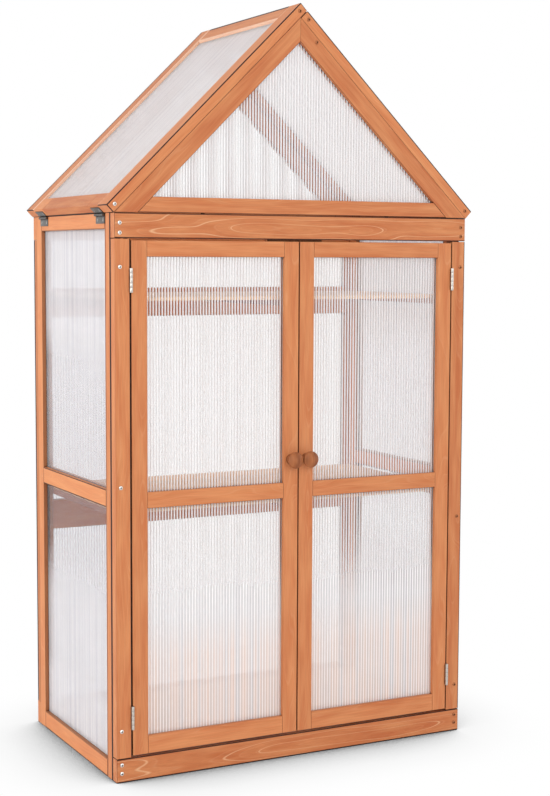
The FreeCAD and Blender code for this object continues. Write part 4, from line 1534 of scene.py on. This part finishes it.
@dataclass
class Studio:
    """White floor and backdrop, soft light and the camera.

    Each light has its name, its place, its width in metres and its power in watts.
    """

    shadow_reach: float = 250 * MM
    floor_radius: float = 9.0
    lens: float = 71.498
    sensor: float = 36.0
    sight: float = 50.0
    eye: Triple = (-1.44279, -2.90119, 0.97978)
    right: Triple = (0.888065, -0.4597, 0.004173)
    above: Triple = (0.037102, 0.080717, 0.996046)
    ahead: Triple = (0.458219, 0.884399, -0.088738)
    lit: Triple = (0.0, 0.0, 0.7)
    lights: tuple[tuple[str, Triple, float, float], ...] = (
        ("key", (-1.2, -3.8, 2.2), 2.4, 44),
        ("fill", (2.6, -3.0, 1.6), 2.6, 14),
        ("side", (-3.6, -0.2, 1.5), 2.4, 54),
        ("far_side", (3.4, 0.4, 1.4), 2.0, 30),
    )
    # Levels of the floor's painted shadow along the ambient occlusion
    foot_fade: Stops = ((0.3, 0.02), (0.49, 0.12), (0.58, 0.68), (0.76, 0.92), (0.96, 1.0))
    wall_light: float = 0.95
    ceiling_light: float = 0.5

    def make(self) -> None:
        """Set the view transform and build camera, lights, floor and world."""
        scene = bpy.context.scene
        scene.view_settings.view_transform = "Standard"
        scene.cycles.transparent_max_bounces = 32
        self.camera(scene)
        self.lamps(scene)
        self.floor()
        self.world(scene)

    def camera(self, scene: Scene) -> None:
        """Stand the camera where the photograph was taken from.

        Args:
            scene: scene to add to.
        """
        data = bpy.data.cameras.new("camera")
        data.lens = self.lens
        data.sensor_width = self.sensor
        data.clip_end = self.sight
        camera = bpy.data.objects.new("camera", data)
        axes = Matrix((Vector(self.right), Vector(self.above), -Vector(self.ahead))).transposed()
        camera.matrix_world = Matrix.Translation(Vector(self.eye)) @ axes.to_4x4()
        scene.collection.objects.link(camera)
        scene.camera = camera

    def lamps(self, scene: Scene) -> None:
        """Hang soft lamps in front of the object and at both its sides.

        Args:
            scene: scene to add to.
        """
        for name, place, size, power in self.lights:
            data = bpy.data.lights.new(name, "AREA")
            data.shape = "DISK"
            data.size = size
            data.energy = power
            lamp = bpy.data.objects.new(name, data)
            lamp.location = place
            aim = Vector(self.lit) - lamp.location
            lamp.rotation_euler = aim.to_track_quat("-Z", "Y").to_euler()
            scene.collection.objects.link(lamp)

    def floor(self) -> None:
        """Lay a white floor that fades into the backdrop, with a painted shadow round the object's foot."""
        disc = bmesh.new()
        bmesh.ops.create_circle(disc, cap_ends=True, segments=96, radius=self.floor_radius)
        material, tree = new_material("studio_floor")
        # Seen by the camera, the floor is as white as the backdrop save close round the foot, where ambient
        # occlusion paints its shadow
        near = {"Distance": self.shadow_reach}
        hollow = add_node(tree, "ShaderNodeAmbientOcclusion", near, samples=16).outputs["AO"]
        glow_level = add_node(tree, "ShaderNodeValToRGB", {0: hollow})
        fill_ramp(glow_level, self.foot_fade)
        seen = add_node(tree, "ShaderNodeLightPath").outputs["Is Camera Ray"]
        paint = add_node(tree, "ShaderNodeBsdfDiffuse", {"Color": (0.92, 0.92, 0.92, 1)})
        glow = add_node(tree, "ShaderNodeEmission", {"Color": glow_level, "Strength": 1.0})
        mixed = add_node(tree, "ShaderNodeMixShader", {0: seen, 1: paint, 2: glow})
        add_node(tree, "ShaderNodeOutputMaterial", {0: mixed})
        solid_object("floor", mesh_of(disc), material)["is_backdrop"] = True

    def world(self, scene: Scene) -> None:
        """Give the room an even light, white to the camera and to gloss and glass.

        Args:
            scene: scene to add to.
        """
        world = bpy.data.worlds.new("room")
        world.use_nodes = True
        tree = world.node_tree
        tree.nodes.clear()
        path = add_node(tree, "ShaderNodeLightPath").outputs
        rays = {0: path["Is Glossy Ray"], 1: path["Is Transmission Ray"]}
        shine = add_node(tree, "ShaderNodeMath", rays, operation="MAXIMUM")
        white = add_node(tree, "ShaderNodeMath", {0: path["Is Camera Ray"], 1: shine}, operation="MAXIMUM")
        # The ceiling is darker than the walls, so that the slopes stay a little deeper than the front
        way = add_node(tree, "ShaderNodeTexCoord").outputs["Generated"]
        rise = add_node(tree, "ShaderNodeSeparateXYZ", {0: way}).outputs["Z"]
        dimming = {0: rise, 1: 0.0, 2: 1.0, 3: self.wall_light, 4: self.ceiling_light}
        room = add_node(tree, "ShaderNodeMapRange", dimming)
        level = add_node(tree, "ShaderNodeMix", {0: white, 2: room, 3: 1.0})
        light = add_node(tree, "ShaderNodeBackground", {"Color": (1, 1, 1, 1), "Strength": level})
        add_node(tree, "ShaderNodeOutputWorld", {0: light})
        scene.world = world


def slope_face(side: Side) -> Vector:
    """Read how a roof half slopes from its pane.

    Args:
        side: which half.

    Returns:
        Outward direction of its top face.
    """
    mesh = FRAME["nodes"][side.word + "_roof_pane"].data
    broad = max(mesh.polygons, key=lambda polygon: polygon.area)
    normal = broad.normal.copy()
    return normal if normal.z > 0 else -normal


def build_timber(finishes: Finishes) -> None:
    """Rebuild every wooden node as clean boards.

    Args:
        finishes: every finish.
    """
    front = -REAR
    seam = 0.9 * MM
    crisp = {"squareness": 0.9}
    sides = (RIGHT, -RIGHT)
    gable = (front, ("gable_panes",))
    # These take the darker fir, painted shade under the shelves
    shaded = ("shelf_cleats", "shelf_battens")
    # Each node's ink paints shade as dark lines along chosen eased edges, and its inner depth paints shade on
    # the faces turned the other way, or a highlight where it is below zero
    plans = [
        Timber(
            "front_posts",
            "cabinet",
            front,
            seed=3,
            gaps=(0.4 * MM, 0.0, 0.0),
            ink=Ink(1.0, REAR, on=sides, foot=RIGHT),
            arris=1.5 * MM,
            **crisp,
        ),
        Timber(
            "front_rails",
            "cabinet",
            front,
            seed=5,
            pith_side=8 * MM,
            pith_depth=(12 * MM, 20 * MM),
            gaps=(0.0, seam, 0.0),
            ink=Ink(0.95),
            arris=1.7 * MM,
            arches=0.75,
            lean=0.045,
            shades=(0.0, 0.15),
            **crisp,
        ),
        Timber(
            "rear_posts",
            "cabinet",
            REAR,
            ("rear_panes",),
            seed=6,
            ink=Ink(1.0, REAR, on=sides),
            arris=8.0 * MM,
            **crisp,
        ),
        Timber("rear_rails", "cabinet", REAR, ("rear_panes",), seed=7),
        Timber(
            "side_stiles",
            "cabinet",
            RIGHT,
            ("side_panes",),
            seed=8,
            gaps=(0.25 * MM, 0.5 * MM, 0.0),
            ink=Ink(1.0, REAR, mirrored=True, on=sides, blank=REAR, inner=0.5),
            arris=5.5 * MM,
            rear_arris=0.8 * MM,
            **crisp,
        ),
        Timber(
            "side_rails",
            "cabinet",
            RIGHT,
            ("side_panes",),
            seed=9,
            ink=Ink(1.0, UP, mirrored=True, on=sides, inner=0.5),
            arris=1.8 * MM,
            **crisp,
        ),
        Timber("gable_rafters", "cabinet", *gable, seed=10, gaps=(0.1 * MM, 0.0, 0.0), joints=((0, 0.0),)),
        Timber("gable_rails", "cabinet", *gable, seed=11, gaps=(0.3 * MM, seam, 0.0), shades=(0.0, 0.3)),
        Timber("shelf_cleats", "cabinet", UP, seed=14),
        Timber("shelf_battens", "cabinet", UP, seed=15),
        Timber("door_stop", "cabinet", REAR, seed=16),
    ]
    low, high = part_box("side_stiles")
    reach = HINGE_BLOCK_REACH - (low.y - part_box("front_posts")[0].y)
    blocks = ((1, low.y + reach), (1, high.y - reach))
    for side in Side:
        word = side.word
        door = (word + "_door", front, (word + "_door_panes",))
        face = slope_face(side)
        uphill = (UP - face * face.z).normalized()
        roof = (word + "_roof", face, (word + "_roof_pane",))
        # Painted shade lies darkest where the photograph draws each half's outline, and the left half's
        # pane-side faces get a painted highlight; the right half lies closer
        rim = Ink(1.0, REAR, mirrored=True, on=(face, front), blank=-face, foot=-uphill, inner=-0.5)
        ridge = Ink(1.0, uphill, inner=-0.6)
        laid, dark_share = 0.5 * MM, (0.1, 0.6)
        if side is Side.RIGHT:
            rim = Ink(1.0, face, on=(front, REAR), elsewhere=0.05)
            ridge = Ink(0.3, uphill)
            laid, dark_share = 0.2 * MM, (0.0, 0.4)
        plans += [
            Timber(word + "_door_stiles", *door, seed=20),
            Timber(word + "_door_rails", *door, seed=21, shades=dark_share),
            Timber(
                word + "_roof_stiles",
                *roof,
                seed=22,
                gaps=(0.0, 0.0, laid),
                ink=rim,
                arris=2.0 * MM,
                rear_arris=7.0 * MM,
                end_arris=1.6 * MM,
                **crisp,
            ),
            Timber(
                word + "_roof_eave_rail",
                *roof,
                seed=23,
                joints=blocks,
                gaps=(0.3 * MM, 0.0, seam),
                ink=Ink(1.0, -face, elsewhere=0.0),
                arris=2.4 * MM,
                **crisp,
            ),
            Timber(word + "_roof_ridge_rail", *roof, seed=24, ink=ridge, arris=5.5 * MM, **crisp),
        ]
    for plan in plans:
        plan.make(finishes.shaded_fir if plan.node in shaded else finishes.fir)


def build_glazing(finishes: Finishes) -> None:
    """Rebuild every sheet with its skins and webs.

    Args:
        finishes: every finish.
    """
    clear, white = finishes.clear_web, finishes.white_web
    Glazing("rear_panes", "cabinet", REAR, UP).make(finishes.plain_skin, clear)
    Glazing("side_panes", "cabinet", RIGHT, UP).make(finishes.side_skin, clear)
    Glazing("gable_panes", "cabinet", -REAR, UP).make(finishes.gable_skin, white)
    for side in Side:
        word = side.word
        Glazing(word + "_door_panes", word + "_door", -REAR, UP).make(finishes.door_skin, white)
        face = slope_face(side)
        uphill = (UP - face * face.z).normalized()
        Glazing(word + "_roof_pane", word + "_roof", face, uphill).make(finishes.roof_skin, clear)


def square_directions() -> list[Vector]:
    """Gather the directions that the greenhouse is built along.

    Returns:
        The three axes, and for each roof half its outward and its uphill direction.
    """
    found = [RIGHT, REAR, UP]
    for side in Side:
        face = slope_face(side)
        found += [face, face.cross(REAR)]
    return found


def finish_carried_nodes(finishes: Finishes) -> None:
    """Give every CAD node a procedural finish, for those that keep their CAD shape.

    Args:
        finishes: every finish.
    """
    slots = {row["node"]: row["material_slot"] for row in FRAME["record"]["subparts"]}
    materials = {
        "stained_fir": finishes.turned_fir,
        "twin_wall_sheet": finishes.plain_skin,
        "nickel_steel": finishes.nickel,
        "zinc_screw": finishes.screw,
        "dark_zinc": finishes.dark,
    }
    for name, piece in FRAME["nodes"].items():
        for holder in piece.material_slots:
            holder.material = materials[slots[name]]


def build_fittings(finishes: Finishes) -> None:
    """Make knobs, hinges and screws.

    Args:
        finishes: every finish.
    """
    nickel, dark = finishes.nickel, finishes.dark
    Fitting("door_post_leaves", "cabinet", "nickel_steel").make(nickel)
    Fitting("roof_wall_leaves", "cabinet", "dark_zinc").make(dark)
    everywhere = ("all", finishes.screw, lambda seat: True)
    worn = ("worn", nickel, lambda seat: True)
    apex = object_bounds()[1].z - RIDGE_REACH
    bright = ("bright", finishes.screw, lambda seat: seat.x < 0 and seat.z < apex)
    # The screws on the right half and near the apex take the darker copy, painted shade
    dull = ("stained", finishes.shaded_screw, lambda seat: seat.x >= 0 or seat.z >= apex)
    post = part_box("front_posts")[1].x - 1 * MM
    Screws("frame_screws", "cabinet", Head.PAN, "zinc_screw", seed=31).make(bright, dull)
    Screws("gable_screws", "cabinet", Head.PAN, "zinc_screw", seed=32).make(bright, dull)
    plated = ("plated", nickel, lambda seat: abs(seat.x) < post)
    outside = ("worn", nickel, lambda seat: abs(seat.x) >= post)
    Screws("hinge_screws", "cabinet", Head.FLAT, "nickel_steel", seed=33).make(plated, outside)
    for side in Side:
        word = side.word
        door, roof = word + "_door", word + "_roof"
        Knob(side).make(finishes.knob_fir)
        Fitting(door + "_hinge_leaves", door, "nickel_steel").make(nickel)
        Fitting(roof + "_hinge_leaves", roof, "dark_zinc").make(dark)
        Screws(door + "_hinge_screws", door, Head.FLAT, "nickel_steel", seed=34).make(plated)
        Screws(roof + "_hinge_screws", roof, Head.FLAT, "dark_zinc", seed=35).make(worn)
        Screws(roof + "_screws", roof, Head.PAN, "zinc_screw", seed=36).make(bright, dull)
        Screws(word + "_knob_screw", door, Head.PAN, "zinc_screw", seed=37).make(everywhere)


def main() -> None:
    """Build the greenhouse's looks in order."""
    logging.basicConfig(level=logging.INFO, format="%(message)s")
    Studio().make()
    finishes = Finishes()
    finish_carried_nodes(finishes)
    build_timber(finishes)
    Slats("floor_boards", seed=41).make(finishes.slat_fir)
    Slats("shelf_boards", seed=43).make(finishes.slat_fir)
    build_glazing(finishes)
    build_fittings(finishes)


if __name__ == "__main__":
    main()
